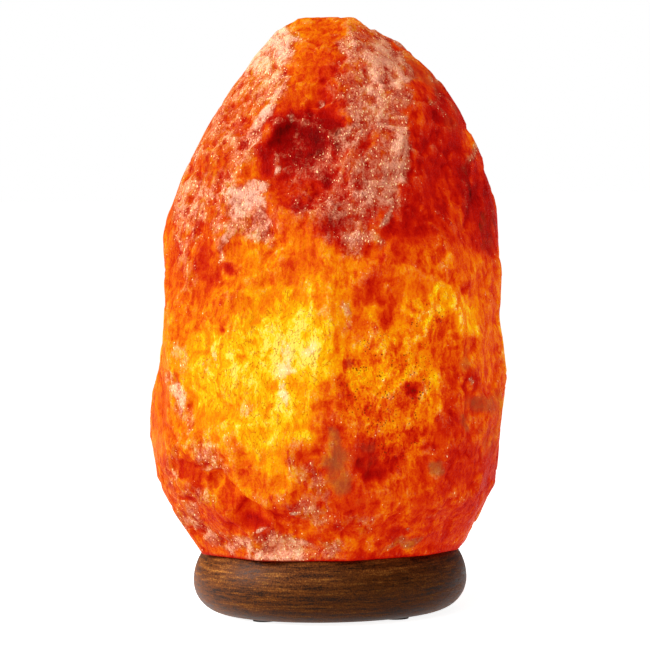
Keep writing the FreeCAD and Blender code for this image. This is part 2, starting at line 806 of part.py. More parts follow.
def make_tube_and_fixings():
    """The screwed tube through the plate, its nut and washer below, and the cord's bush."""
    keep(
        "screwed_tube",
        cut_from(
            "tube",
            cylinder("tube_blank", "tube_radius", "tube_bottom", "tube_top"),
            cylinder("tube_core", "tube_bore", "tube_bottom", "tube_top"),
        ),
    )
    keep(
        "lock_washer",
        cut_from(
            "washer",
            cylinder("washer_blank", "washer_radius", "nut_top", "plate_bottom"),
            cylinder("washer_core", "screwed_bore", "nut_top", "plate_bottom"),
        ),
    )
    hexagon = doc.addObject("Part::Prism", "nut_blank")
    hexagon.Polygon = 6
    hexagon.setExpression("Circumradius", bound("nut_flats / sqrt(3)"))
    hexagon.setExpression("Height", bound("nut_height"))
    hexagon.setExpression("Placement.Base.z", bound("nut_bottom"))
    keep(
        "tube_nut",
        cut_from("nut", hexagon, cylinder("nut_core", "screwed_bore", "nut_bottom", "nut_top")),
    )
    keep(
        "cord_bush",
        turned(
            "bush_body",
            [
                ("bush_bore", "bush_bottom"),
                ("tube_radius", "bush_bottom"),
                ("tube_radius", "tube_bottom"),
                ("tube_bore - thread_gap", "tube_bottom"),
                ("tube_bore - thread_gap", "tube_bottom + bush_length"),
                ("bush_bore", "tube_bottom + bush_length"),
            ],
        ),
    )


def make_clips():
    """Three spring clips: a foot riveted to the plate, and a leaf that presses on the bore."""
    count = int(value("clip_count"))
    foot = strip(
        "clip_foot_body",
        [
            ("clip_foot_start", "ledge"),
            ("clip_foot_end", "ledge"),
            ("clip_foot_end", "clip_foot_top + clip_lip"),
            ("clip_foot_end - clip_thickness", "clip_foot_top + clip_lip"),
            ("clip_foot_end - clip_thickness", "clip_foot_top"),
            ("clip_foot_start", "clip_foot_top"),
        ],
        "clip_width",
    )
    rivet_hole = cylinder(
        "clip_rivet_hole",
        "rivet_radius + rivet_gap",
        f"ledge - {CUT_PAST}",
        f"clip_foot_top + {CUT_PAST}",
        "rivet_place",
    )
    drilled = cut_from("clip_foot", foot, rivet_hole)
    feet = turned_copies(drilled.Shape, count, CLIP_START_ANGLE)
    keep("clip_feet", shaped("clip_foot_ring", Part.makeCompound(feet)))

    leaf = strip(
        "clip_leaf_body",
        [
            ("clip_foot_end - clip_thickness", "clip_foot_top + clip_lip + clip_root_gap"),
            ("clip_foot_end", "clip_foot_top + clip_lip + clip_root_gap"),
            ("clip_reach", "ledge + clip_contact_height"),
            ("clip_reach - clip_tip_lean", "ledge + clip_tip_height"),
            ("clip_reach - clip_tip_lean - clip_thickness", "ledge + clip_tip_height"),
            ("clip_reach - clip_thickness", "ledge + clip_contact_height"),
        ],
        "clip_width",
    )
    for number, copy in enumerate(turned_copies(leaf.Shape, count, CLIP_START_ANGLE), start=1):
        keep(f"clip_leaf_{number}", shaped(f"spring_leaf_{number}", copy))
    make_rivets(count)


def make_rivets(count):
    """The rivets that hold the clip feet to the plate."""
    shank = cylinder("rivet_shank", "rivet_radius", "plate_bottom", "clip_foot_top", "rivet_place")
    heads = [
        cylinder(
            "rivet_top_head",
            "rivet_head_radius",
            "clip_foot_top",
            "clip_foot_top + rivet_head_height",
            "rivet_place",
        ),
        cylinder(
            "rivet_bottom_head",
            "rivet_head_radius",
            "plate_bottom - rivet_head_height",
            "plate_bottom",
            "rivet_place",
        ),
    ]
    rivet = doc.addObject("Part::MultiFuse", "rivet")
    rivet.Shapes = [shank, *heads]
    doc.recompute()
    rivets = turned_copies(rivet.Shape, count, CLIP_START_ANGLE)
    keep("clip_rivets", shaped("clip_rivet_ring", Part.makeCompound(rivets)))


# ---------------------------------------------------------------- lampholder

def make_lampholder_cap():
    """The lower half of the lampholder, screwed down on the tube."""
    return keep(
        "lampholder_cap",
        turned(
            "cap_body",
            [
                ("screwed_bore", "ledge"),
                ("holder_radius - cap_shoulder_inset", "ledge"),
                ("holder_radius", "ledge + cap_shoulder"),
                ("holder_radius", "cap_top"),
                ("cap_inner", "cap_top"),
                ("cap_inner", "ledge + cap_shoulder"),
                ("cap_inner - cap_shoulder_inset", "ledge + cap_floor"),
                ("neck_radius", "ledge + cap_floor"),
                ("neck_radius", "tube_top"),
                ("screwed_bore", "tube_top"),
            ],
        ),
    )


def make_lampholder_sleeve():
    """The upper half, screwed into the cap, with the mouth that the bulb goes into."""
    return keep(
        "lampholder_sleeve",
        turned(
            "sleeve_body",
            [
                ("block_seat", "tail_bottom"),
                ("tail_radius", "tail_bottom"),
                ("tail_radius", "cap_top + sleeve_gap"),
                ("holder_radius", "cap_top + sleeve_gap"),
                ("holder_radius", "holder_top - sleeve_lip"),
                ("holder_radius - sleeve_lip", "holder_top"),
                ("sleeve_mouth", "holder_top"),
                ("sleeve_mouth", "block_top"),
                ("block_seat", "block_top"),
            ],
        ),
    )


def make_contact_block():
    """The ceramic block that carries the contacts, slotted for their strips."""
    body = turned(
        "block_body",
        [
            ("0", "block_bottom"),
            ("block_radius", "block_bottom"),
            ("block_radius", "block_top"),
            ("0", "block_top"),
        ],
    )
    for name, place, sign in (
        ("shell_strip_slot", "shell_strip_place", ""),
        ("centre_strip_slot", "centre_strip_place", "-"),
    ):
        middle = f"{sign}{place}"
        half_thick = "(strip_thickness / 2 + strip_slot_gap)"
        half_wide = "(strip_width / 2 + strip_slot_gap)"
        pocket_up(
            body,
            name,
            lambda sketch, middle=middle, thick=half_thick, wide=half_wide: draw_outline(
                sketch,
                [
                    (f"{middle} - {thick}", f"-{wide}"),
                    (f"{middle} + {thick}", f"-{wide}"),
                    (f"{middle} + {thick}", wide),
                    (f"{middle} - {thick}", wide),
                ],
            ),
            f"block_top + {CUT_PAST}",
        )
    hole = pocket_up(
        body,
        "terminal_hole",
        lambda sketch: draw_circle(sketch, "terminal_place", "0", "terminal_radius + terminal_gap"),
        "strip_bottom + terminal_length + terminal_hole_extra",
    )
    pattern_round(body, "terminal_holes", [hole], "terminal_count")
    return keep("contact_block", body)


def make_contacts():
    """The two brass contacts. Each starts under the block, at its terminal screw."""
    screw_hole = cylinder(
        "tab_screw_hole",
        "terminal_radius + terminal_gap",
        f"strip_bottom - {CUT_PAST}",
        f"block_bottom + {CUT_PAST}",
        "terminal_place",
    )
    inner = "shell_strip_place - strip_thickness / 2"
    outer = "shell_strip_place + strip_thickness / 2"
    side = strip(
        "shell_contact_body",
        [
            ("terminal_place - terminal_head_radius", "strip_bottom"),
            (outer, "strip_bottom"),
            (outer, "block_top"),
            (inner, "block_top"),
            (inner, "block_bottom"),
            ("terminal_place - terminal_head_radius", "block_bottom"),
        ],
        "strip_width",
    )
    keep("shell_contact", cut_from("shell_contact_drilled", side, screw_hole))

    near = "-centre_strip_place + strip_thickness / 2"
    far = "-centre_strip_place - strip_thickness / 2"
    tongue_tip = "button_radius"
    tongue_top = "bulb_tip - contact_gap"
    centre = strip(
        "centre_contact_body",
        [
            ("-terminal_place - terminal_head_radius", "strip_bottom"),
            (near, "strip_bottom"),
            (near, "block_top + tongue_rise"),
            (tongue_tip, "bulb_tip - contact_gap - strip_thickness"),
            (tongue_tip, tongue_top),
            (far, "block_top + tongue_rise + strip_thickness"),
            (far, "block_bottom"),
            ("-terminal_place - terminal_head_radius", "block_bottom"),
        ],
        "strip_width",
    )
    far_hole = cylinder(
        "tongue_screw_hole",
        "terminal_radius + terminal_gap",
        f"strip_bottom - {CUT_PAST}",
        f"block_bottom + {CUT_PAST}",
        "-terminal_place",
    )
    keep("centre_contact", cut_from("centre_contact_drilled", centre, far_hole))


def make_terminal_screws():
    """The two terminal screws under the contact block."""
    shank = cylinder(
        "terminal_shank",
        "terminal_radius",
        "strip_bottom",
        "strip_bottom + terminal_length",
        "terminal_place",
    )
    head = cylinder(
        "terminal_head",
        "terminal_head_radius",
        "strip_bottom - terminal_head_height",
        "strip_bottom",
        "terminal_place",
    )
    screw = doc.addObject("Part::MultiFuse", "terminal_screw")
    screw.Shapes = [shank, head]
    doc.recompute()
    screws = turned_copies(screw.Shape, int(value("terminal_count")))
    keep("terminal_screws", shaped("terminal_screw_pair", Part.makeCompound(screws)))


# ---------------------------------------------------------------- rolled screw threads

def threaded_bar(radius, bottom, top, thread_start, thread_end):
    """A bar with a rolled round thread. At each height the section is a circle, set off the axis by
    the thread's swing in a direction that turns once for each pitch, so the wall is one screw. Over
    a pitch at either end the crest tapers down to the root."""
    pitch, swing = value("thread_pitch"), value("thread_swing")
    count = round((top - bottom) * SECTIONS_PER_TURN / pitch)
    circles = []
    for k in range(count + 1):
        height = bottom + (top - bottom) * k / count
        share = max(0.0, min(1.0, (height - thread_start) / pitch, (thread_end - height) / pitch))
        turn = 2 * math.pi * height / pitch
        offset = swing * share
        centre = Vector(offset * math.cos(turn), offset * math.sin(turn), height)
        circle = Part.Circle(centre, Vector(0, 0, 1), radius - swing * (1 - share))
        circles.append(Part.Wire([circle.toShape()]))
    return Part.makeLoft(circles, True, False)


def make_screw_shell():
    """The lampholder's threaded brass shell, flanged at the bottom where it sits on the block."""
    bottom, top = value("block_top"), value("shell_top")
    flange_top = bottom + value("shell_flange_thickness")
    inner = value("thread_mean_radius + thread_clearance")
    outer = inner + value("thread_swing + shell_wall")
    pitch = value("thread_pitch")
    hollow = threaded_bar(inner, bottom, top, bottom - pitch, top + pitch)
    flange = Part.makeCylinder(value("shell_flange_radius"), flange_top - bottom, Vector(0, 0, bottom))
    tube = Part.makeCylinder(outer, top - bottom, Vector(0, 0, bottom))
    return keep("screw_shell", shaped("shell_body", tube.fuse(flange).removeSplitter().cut(hollow)))


def make_bulb_cap():
    """The bulb's thin metal cap, threaded to match the shell."""
    bottom, top = value("bulb_cap_bottom"), value("bulb_cap_top")
    thread_end = top - value("thread_end_gap")
    threaded = threaded_bar(value("thread_mean_radius"), bottom, top, bottom, thread_end)
    bore_start = bottom + value("bulb_cap_lip")
    bore = Part.makeCylinder(value("bulb_cap_bore"), top - bore_start, Vector(0, 0, bore_start))
    mouth = value("bulb_cap_bore - bulb_cap_lip_reach")
    lip = Part.makeCylinder(mouth, top - bottom, Vector(0, 0, bottom))
    return keep("bulb_cap", shaped("bulb_cap_body", threaded.cut(bore).cut(lip)))


# ---------------------------------------------------------------- bulb

def make_bulb_ends():
    """The soldered button at the bulb's tip and the glass that insulates it."""
    keep(
        "bulb_contact",
        turned(
            "button_body",
            [
                ("0", "bulb_tip"),
                ("button_radius - button_bevel", "bulb_tip"),
                ("button_radius", "insulator_bottom"),
                ("0", "insulator_bottom"),
            ],
        ),
    )
    keep(
        "bulb_insulator",
        turned(
            "insulator_body",
            [
                ("0", "insulator_bottom"),
                ("button_radius + insulator_rim", "insulator_bottom"),
                ("bulb_cap_bore", "bulb_cap_bottom"),
                ("bulb_cap_bore - bulb_cap_lip_reach", "bulb_cap_bottom"),
                ("bulb_cap_bore - bulb_cap_lip_reach", "bulb_cap_bottom + bulb_cap_lip"),
                ("0", "bulb_cap_bottom + bulb_cap_lip"),
            ],
        ),
    )


def make_bulb_glass():
    """The blown envelope: a neck cemented in the cap and a round bulb above it."""
    inside = "(bulb_radius - bulb_wall)"
    throat = "(bulb_neck - bulb_wall)"
    return keep(
        "bulb_glass",
        turned(
            "glass_body",
            [
                (throat, "neck_bottom"),
                ("bulb_neck", "neck_bottom"),
                (
                    "bulb_neck",
                    "bulb_middle - sqrt(bulb_radius ^ 2 - bulb_neck ^ 2)",
                    "bulb_radius",
                    1,
                ),
                ("0", "bulb_middle + bulb_radius"),
                ("0", "bulb_middle + bulb_radius - bulb_wall", "bulb_radius - bulb_wall", -1),
                (throat, f"bulb_middle - sqrt({inside} ^ 2 - {throat} ^ 2)"),
            ],
        ),
    )


def make_bulb_stem():
    """The glass stem that closes the neck and carries the wires."""
    return keep(
        "bulb_stem",
        turned(
            "stem_body",
            [
                ("0", "neck_bottom"),
                ("bulb_neck - bulb_wall - stem_gap", "neck_bottom"),
                ("bulb_neck - bulb_wall - stem_gap", "neck_bottom + stem_flare"),
                ("stem_radius", "neck_bottom + stem_flare + stem_narrowing"),
                ("stem_radius", "stem_top"),
                ("stem_rod_radius", "stem_top"),
                ("stem_rod_radius", "stem_top + stem_rod_length"),
                ("0", "stem_top + stem_rod_length"),
            ],
        ),
    )


def wire_through(points, radius):
    """A thin round wire along straight runs, rounded where it bends."""
    pieces = []
    for start, end in zip(points, points[1:]):
        run = end - start
        pieces.append(Part.makeCylinder(radius, run.Length, start, run))
    pieces += [Part.makeSphere(radius, point) for point in points[1:-1]]
    return pieces[0].fuse(pieces[1:]) if len(pieces) > 1 else pieces[0]


def make_bulb_wires():
    """The lead-in wires, the filament hung between them and the supports that hold it up."""
    stem_top, level = value("stem_top"), value("filament_level")
    span, swing = value("filament_half_span"), value("filament_swing")
    root, rise = value("lead_root"), value("lead_rise")
    high = level + value("filament_sag")
    leads = [
        wire_through(
            [
                Vector(side * root, 0, stem_top),
                Vector(side * root, 0, stem_top + rise),
                Vector(side * span, 0, level),
            ],
            value("lead_radius"),
        )
        for side in (-1, 1)
    ]
    hooks = [
        Vector(-span / 2, swing, high),
        Vector(0, -swing, high),
        Vector(span / 2, swing, high),
    ]
    ends = [Vector(side * span, 0, level) for side in (-1, 1)]
    filament = wire_through([ends[0], *hooks, ends[1]], value("filament_radius"))
    rod_top = Vector(0, 0, stem_top + value("stem_rod_length"))
    supports = [wire_through([rod_top, hook], value("support_radius")) for hook in hooks]
    fan = supports[0].fuse(supports[1:])
    keep("bulb_leads", shaped("lead_pair", Part.makeCompound(leads)))
    keep("bulb_filament", shaped("filament", filament))
    keep("filament_supports", shaped("support_fan", fan))


# ---------------------------------------------------------------- build, check and write

def check_pieces():
    """Stops if any feature failed or any piece is missing, invalid or not closed solids."""
    for thing in doc.Objects:
        if "Invalid" in thing.State or "Error" in thing.State:
            raise RuntimeError(f"{thing.Name} failed: {thing.State}")
    for name, thing in NODES.items():
        shape = thing.Shape
        if shape.isNull() or not shape.isValid() or not shape.Solids:
            raise RuntimeError(f"{name} has no valid solid")
        if min(solid.Volume for solid in shape.Solids) <= 0:
            raise RuntimeError(f"{name} has a solid with no volume")


def write_parts():
    """Writes each piece as a STEP file named after it."""
    os.makedirs("parts", exist_ok=True)
    for name, thing in NODES.items():
        thing.Shape.exportStep(f"parts/{name}.step")
        print(f"{name}: {len(thing.Shape.Solids)} solid, {thing.Shape.Volume:.1f} mm3")


fill_sheet()
make_foot()
make_pads()
make_screws()
make_plugs()
make_stone()
make_plate()
make_tube_and_fixings()
make_clips()
make_lampholder_cap()
make_lampholder_sleeve()
make_contact_block()
make_contacts()
make_terminal_screws()
make_screw_shell()
make_bulb_cap()
make_bulb_ends()
make_bulb_glass()
make_bulb_stem()
make_bulb_wires()
doc.recompute()
check_pieces()
write_parts()
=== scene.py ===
import math

import bmesh
import bpy
import numpy as np
from bpy.props import FloatProperty, FloatVectorProperty, IntProperty, PointerProperty
from mathutils import Matrix, Vector, noise


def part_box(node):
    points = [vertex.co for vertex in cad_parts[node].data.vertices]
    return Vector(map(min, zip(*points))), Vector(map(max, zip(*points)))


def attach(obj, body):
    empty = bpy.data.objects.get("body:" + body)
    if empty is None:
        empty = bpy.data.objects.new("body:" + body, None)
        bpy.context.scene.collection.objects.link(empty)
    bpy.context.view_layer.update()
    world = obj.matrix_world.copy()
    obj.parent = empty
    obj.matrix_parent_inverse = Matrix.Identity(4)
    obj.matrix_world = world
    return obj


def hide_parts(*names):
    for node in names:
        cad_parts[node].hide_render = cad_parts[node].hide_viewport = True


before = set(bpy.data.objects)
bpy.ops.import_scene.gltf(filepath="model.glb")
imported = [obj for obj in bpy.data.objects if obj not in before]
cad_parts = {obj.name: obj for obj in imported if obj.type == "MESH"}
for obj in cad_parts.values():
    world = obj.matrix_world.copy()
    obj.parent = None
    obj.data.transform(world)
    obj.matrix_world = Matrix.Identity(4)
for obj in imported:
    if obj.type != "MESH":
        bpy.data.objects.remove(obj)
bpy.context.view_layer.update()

bl_info = {
    "name": "Salt Crystal Lamp",
    "version": (1, 0, 0),
    "blender": (4, 5, 0),
    "location": "View3D > Sidebar > Lamp",
    "description": "Dresses the salt crystal lamp: stone, turned foot, lampholder and bulb",
    "category": "Object",
}

MM = 0.001


def written(red, green, blue):
    """A colour as it is written on screen, 0 to 255 a channel, as the light it stands for."""
    def light(channel):
        share = channel / 255
        return share / 12.92 if share <= 0.04045 else ((share + 0.055) / 1.055) ** 2.4
    return light(red), light(green), light(blue)


def lengthed(name, description, default):
    """A length that a user would change, in metres."""
    return FloatProperty(name=name, description=description, default=default, unit="LENGTH",
                         precision=5)


def shared(name, description, default):
    """A share, from 0 to 1, that a user would change."""
    return FloatProperty(name=name, description=description, default=default, min=0, max=1,
                         subtype="FACTOR")


def coloured(name, description, shade):
    """A colour that a user would change."""
    return FloatVectorProperty(name=name, description=description, default=written(*shade),
                               subtype="COLOR", min=0, max=1)


# ---------------------------------------------------------------------------------------------
# What a user would change


class StoneSettings(bpy.types.PropertyGroup):
    """The rock salt: how finely it is carved and how it glows."""
    fineness: lengthed("Fineness", "Spacing of the points on the stone's skin", 0.00126)
    chip_count: IntProperty(name="Chips", description="Small flat chips knocked off all round",
                            default=260, min=0)
    chip_depth: lengthed("Chip depth", "How deep the deepest small chip goes", 0.0011)
    seed: IntProperty(name="Seed", description="Picks one scatter of small chips", default=11)
    glow: shared("Glow", "Share of the stone's colour that is its own light", 0.84)
    body: shared("Body", "Share of the glow colour that daylight shows", 0.19)
    haze: shared("Haze", "Share of the crust's colour that is light from inside", 0.52)
    crack: coloured("Crack", "Fine cracks in the clear salt", (206, 74, 2))
    # The glint colour is a painted highlight on tiny crystal faces
    painted_glint: coloured("Glint", "Tiny crystal faces that catch the light", (252, 206, 150))
    frost: coloured("Frost", "Bleached crust that scatters the room's light", (234, 190, 168))
    frost_pink: coloured("Pink frost", "Thinner crust, tinted by the salt under it", (204, 110, 76))
    crust_glow: coloured("Crust glow", "Light from inside as the crust lets it out",
                         (240, 146, 106))
    veil: coloured("Veil", "Cloudy salt in front of the bulb", (255, 240, 176))
    murk: coloured("Clay", "Grey-brown clay caught in the salt", (132, 92, 48))
    fleck: coloured("Fleck", "Dark grains of earth in the salt", (120, 34, 4))


class FootSettings(bpy.types.PropertyGroup):
    """The turned wooden foot."""
    wood: coloured("Wood", "Walnut stain", (118, 62, 18))
    wood_dark: coloured("Dark grain", "Darker lines of the grain", (36, 16, 4))
    wood_light: coloured("Light grain", "Paler wood between the lines", (198, 130, 54))
    felt: coloured("Felt", "Wool felt of the pads", (96, 74, 56))
    zinc: coloured("Zinc", "Plated wood screws, plate and nut", (196, 198, 200))
    nylon: coloured("Nylon", "Plugs that the screws bite into", (222, 218, 206))


class HolderSettings(bpy.types.PropertyGroup):
    """The lampholder and the plate that carries it."""
    spring: coloured("Spring steel", "Clip leaves and their feet", (160, 164, 170))
    rubber: coloured("Bush rubber", "Bush that guards the inlet", (26, 26, 27))
    plastic: coloured("Holder plastic", "Moulded cap and sleeve", (228, 222, 208))
    ceramic: coloured("Ceramic", "Block that carries the contacts", (234, 230, 220))
    brass: coloured("Brass", "Contacts, shell and terminal screws", (201, 158, 84))


class BulbSettings(bpy.types.PropertyGroup):
    """The small bulb."""
    nickel: coloured("Nickel", "Threaded cap of the bulb", (190, 186, 176))
    solder: coloured("Solder", "Button under the bulb", (150, 150, 148))
    insulator: coloured("Insulator", "Black glass ring round the button", (16, 14, 18))
    glass: coloured("Glass", "Clear glass of the bulb", (250, 250, 250))
    wire: coloured("Wire", "Leads and hooks inside the bulb", (170, 160, 146))
    filament: coloured("Filament", "Light of the lit coil", (255, 196, 120))
    filament_power: FloatProperty(name="Filament power", description="Strength of the coil's light",
                                  default=9.0, min=0)


class StageSettings(bpy.types.PropertyGroup):
    """Camera, light and floor."""
    lens: FloatProperty(name="Lens", description="Focal length that gives the view's perspective",
                        default=179.33, unit="CAMERA")
    camera_distance: lengthed("Camera distance", "From the lamp's axis to the camera", 1.3)
    camera_height: lengthed("Camera height", "Height of the camera above the table", 0.172)
    camera_pitch: FloatProperty(name="Pitch", description="Tilt of the camera below the horizon",
                                default=math.radians(2.493), subtype="ANGLE")
    camera_roll: FloatProperty(name="Roll", description="Turn of the camera about its own axis",
                               default=math.radians(-1.0), subtype="ANGLE")
    camera_shift: FloatProperty(name="Shift", description="Sideways shift, as a share of the frame",
                                default=-0.00108, precision=5)
    floor_reach: lengthed("Floor reach", "Half the width of the floor", 40.0)
    floor: coloured("Floor", "Pale floor", (244, 243, 241))
    floor_bounce: coloured("Floor bounce", "What the floor throws back onto the lamp",
                           (150, 146, 140))
    key_power: FloatProperty(name="Key power", description="Soft window on the left", default=19.0,
                             unit="POWER")
    fill_power: FloatProperty(name="Fill power", description="Soft light from the front",
                              default=4.0, unit="POWER")
    sky: FloatProperty(name="Sky", description="Strength of the even light all round",
                       default=0.16, min=0)


# ---------------------------------------------------------------------------------------------
# Materials


class Recipe:
    """One material, put together a node at a time on the piece's own coordinates."""
    NOISE_SPAN = (0.28, 0.72)    # where nearly all of a soft noise's values lie

    def __init__(self, name):
        self.material = bpy.data.materials.new(name)
        self.material.use_nodes = True
        self.nodes = self.material.node_tree.nodes
        self.links = self.material.node_tree.links
        self.nodes.clear()
        self.place = self.nodes.new("ShaderNodeTexCoord").outputs["Object"]
        self.shader = self.nodes.new("ShaderNodeBsdfPrincipled")
        output = self.nodes.new("ShaderNodeOutputMaterial")
        self.links.new(self.shader.outputs["BSDF"], output.inputs["Surface"])

    def join(self, source, socket):
        """Sets a socket to a number or colour, or links it to another node's output."""
        if isinstance(source, bpy.types.NodeSocket):
            self.links.new(source, socket)
        elif hasattr(source, "__len__"):
            wanted = len(socket.default_value)
            socket.default_value = (tuple(source) + (1.0,))[:wanted]
        else:
            socket.default_value = source

    def set(self, name, source):
        """Sets one of the shader's own sockets."""
        self.join(source, self.shader.inputs[name])

    def math(self, operation, *sources):
        """One step of arithmetic on numbers or other nodes' outputs."""
        node = self.nodes.new("ShaderNodeMath")
        node.operation = operation
        for source, socket in zip(sources, node.inputs):
            self.join(source, socket)
        return node.outputs[0]

    def times(self, first, second):
        """One number or output times another."""
        return self.math("MULTIPLY", first, second)

    def add_up(self, first, *others):
        """A sum, added up in the order given."""
        total = first
        for other in others:
            total = self.math("ADD", total, other)
        return total

    def weighed(self, *parts):
        """A sum of patterns, each times its share."""
        return self.add_up(*(self.times(source, share) for source, share in parts))

    def swing(self, source, amount):
        """A pattern that runs from 0 to 1, turned into one that swings by amount round 0."""
        return self.math("MULTIPLY_ADD", source, 2 * amount, -amount)

    def attribute(self, name):
        """A field painted on the piece's points."""
        node = self.nodes.new("ShaderNodeAttribute")
        node.attribute_name = name
        return node.outputs["Fac"]

    def turned(self, turn=(0, 0, 0), stretch=(1, 1, 1), place=None):
        """The piece's coordinates, turned in degrees and squeezed by a factor on each axis."""
        node = self.nodes.new("ShaderNodeMapping")
        node.inputs["Rotation"].default_value = tuple(math.radians(angle) for angle in turn)
        node.inputs["Scale"].default_value = stretch
        self.links.new(place or self.place, node.inputs["Vector"])
        return node.outputs["Vector"]

    def bent(self, size, amount):
        """The piece's coordinates, pushed about by noise of a size by up to an amount."""
        node = self.nodes.new("ShaderNodeVectorMath")
        node.operation = "MULTIPLY_ADD"
        self.links.new(self.cloud(size, output="Color"), node.inputs[0])
        node.inputs[1].default_value = (amount, amount, amount)
        self.links.new(self.place, node.inputs[2])
        return node.outputs[0]

    def crisp(self, source):
        """Soft noise stretched so that it fills 0 to 1."""
        return self.step(source, *self.NOISE_SPAN)

    def ridges(self, source, width):
        """1 along the lines where a soft noise crosses its middle value, 0 beside them."""
        off = self.math("ABSOLUTE", self.math("SUBTRACT", source, 0.5))
        return self.step(off, 0.0, width, 1.0, 0.0)

    def cloud(self, size, detail=3.0, roughness=0.5, place=None, distortion=0.0, output="Fac"):
        """Soft noise whose lumps are about size metres across."""
        node = self.nodes.new("ShaderNodeTexNoise")
        node.inputs["Scale"].default_value = 1 / size
        node.inputs["Detail"].default_value = detail
        node.inputs["Roughness"].default_value = roughness
        node.inputs["Distortion"].default_value = distortion
        self.links.new(place or self.place, node.inputs["Vector"])
        return node.outputs[output]

    def cells(self, size, output="Distance", place=None):
        """Crystal-like cells about size metres across."""
        node = self.nodes.new("ShaderNodeTexVoronoi")
        node.inputs["Scale"].default_value = 1 / size
        self.links.new(place or self.place, node.inputs["Vector"])
        return node.outputs[output]

    def step(self, source, low, high, to_low=0.0, to_high=1.0):
        """A smooth step from to_low to to_high as source goes from low to high."""
        node = self.nodes.new("ShaderNodeMapRange")
        node.interpolation_type = "SMOOTHSTEP"
        names = ("Value", "From Min", "From Max", "To Min", "To Max")
        for name, value in zip(names, (source, low, high, to_low, to_high)):
            self.join(value, node.inputs[name])
        return node.outputs["Result"]

    def mix(self, share, first, second):
        """A share of the second colour over the first."""
        node = self.nodes.new("ShaderNodeMix")
        node.data_type = "RGBA"
        # The node's colour sockets come after those for numbers and vectors
        for source, place in ((share, 0), (first, 6), (second, 7)):
            self.join(source, node.inputs[place])
        return node.outputs[2]

    def dim(self, colour, share):
        """A colour times a share."""
        node = self.nodes.new("ShaderNodeVectorMath")
        node.operation = "SCALE"
        self.join(colour, node.inputs[0])
        self.join(share, node.inputs["Scale"])
        return node.outputs[0]

    def ramp(self, source, stops):
        """A colour scale: stops are pairs of a place, from 0 up to 1, and a written colour."""
        node = self.nodes.new("ShaderNodeValToRGB")
        scale = node.color_ramp.elements
        for position, _ in stops[1:-1]:
            scale.new(position)
        for element, (_, shade) in zip(scale, stops):
            element.color = (*written(*shade), 1.0)
        self.join(source, node.inputs["Fac"])
        return node.outputs["Color"]

    def bump(self, height, distance, strength):
        """Relief as deep as distance, from a pattern of heights."""
        node = self.nodes.new("ShaderNodeBump")
        node.inputs["Strength"].default_value = strength
        node.inputs["Distance"].default_value = distance
        self.links.new(height, node.inputs["Height"])
        return node.outputs["Normal"]


# How the glow's colour goes, from salt that hardly lets the light through to clear salt
GLOW_SCALE = (
    (0.00, (96, 4, 2)),
    (0.10, (139, 3, 2)),
    (0.20, (165, 6, 3)),
    (0.30, (190, 15, 3)),
    (0.40, (211, 35, 3)),
    (0.50, (226, 62, 4)),
    (0.60, (242, 96, 4)),
    (0.70, (250, 128, 4)),
    (0.80, (253, 158, 4)),
    (0.88, (254, 188, 6)),
    (0.95, (255, 214, 28)),
    (1.00, (255, 232, 88)),
)


# Ridged patterns lie high on average, and these bring the glow and the crust back down
GLOW_EVENING = -0.035
CRUST_EVENING = -0.06


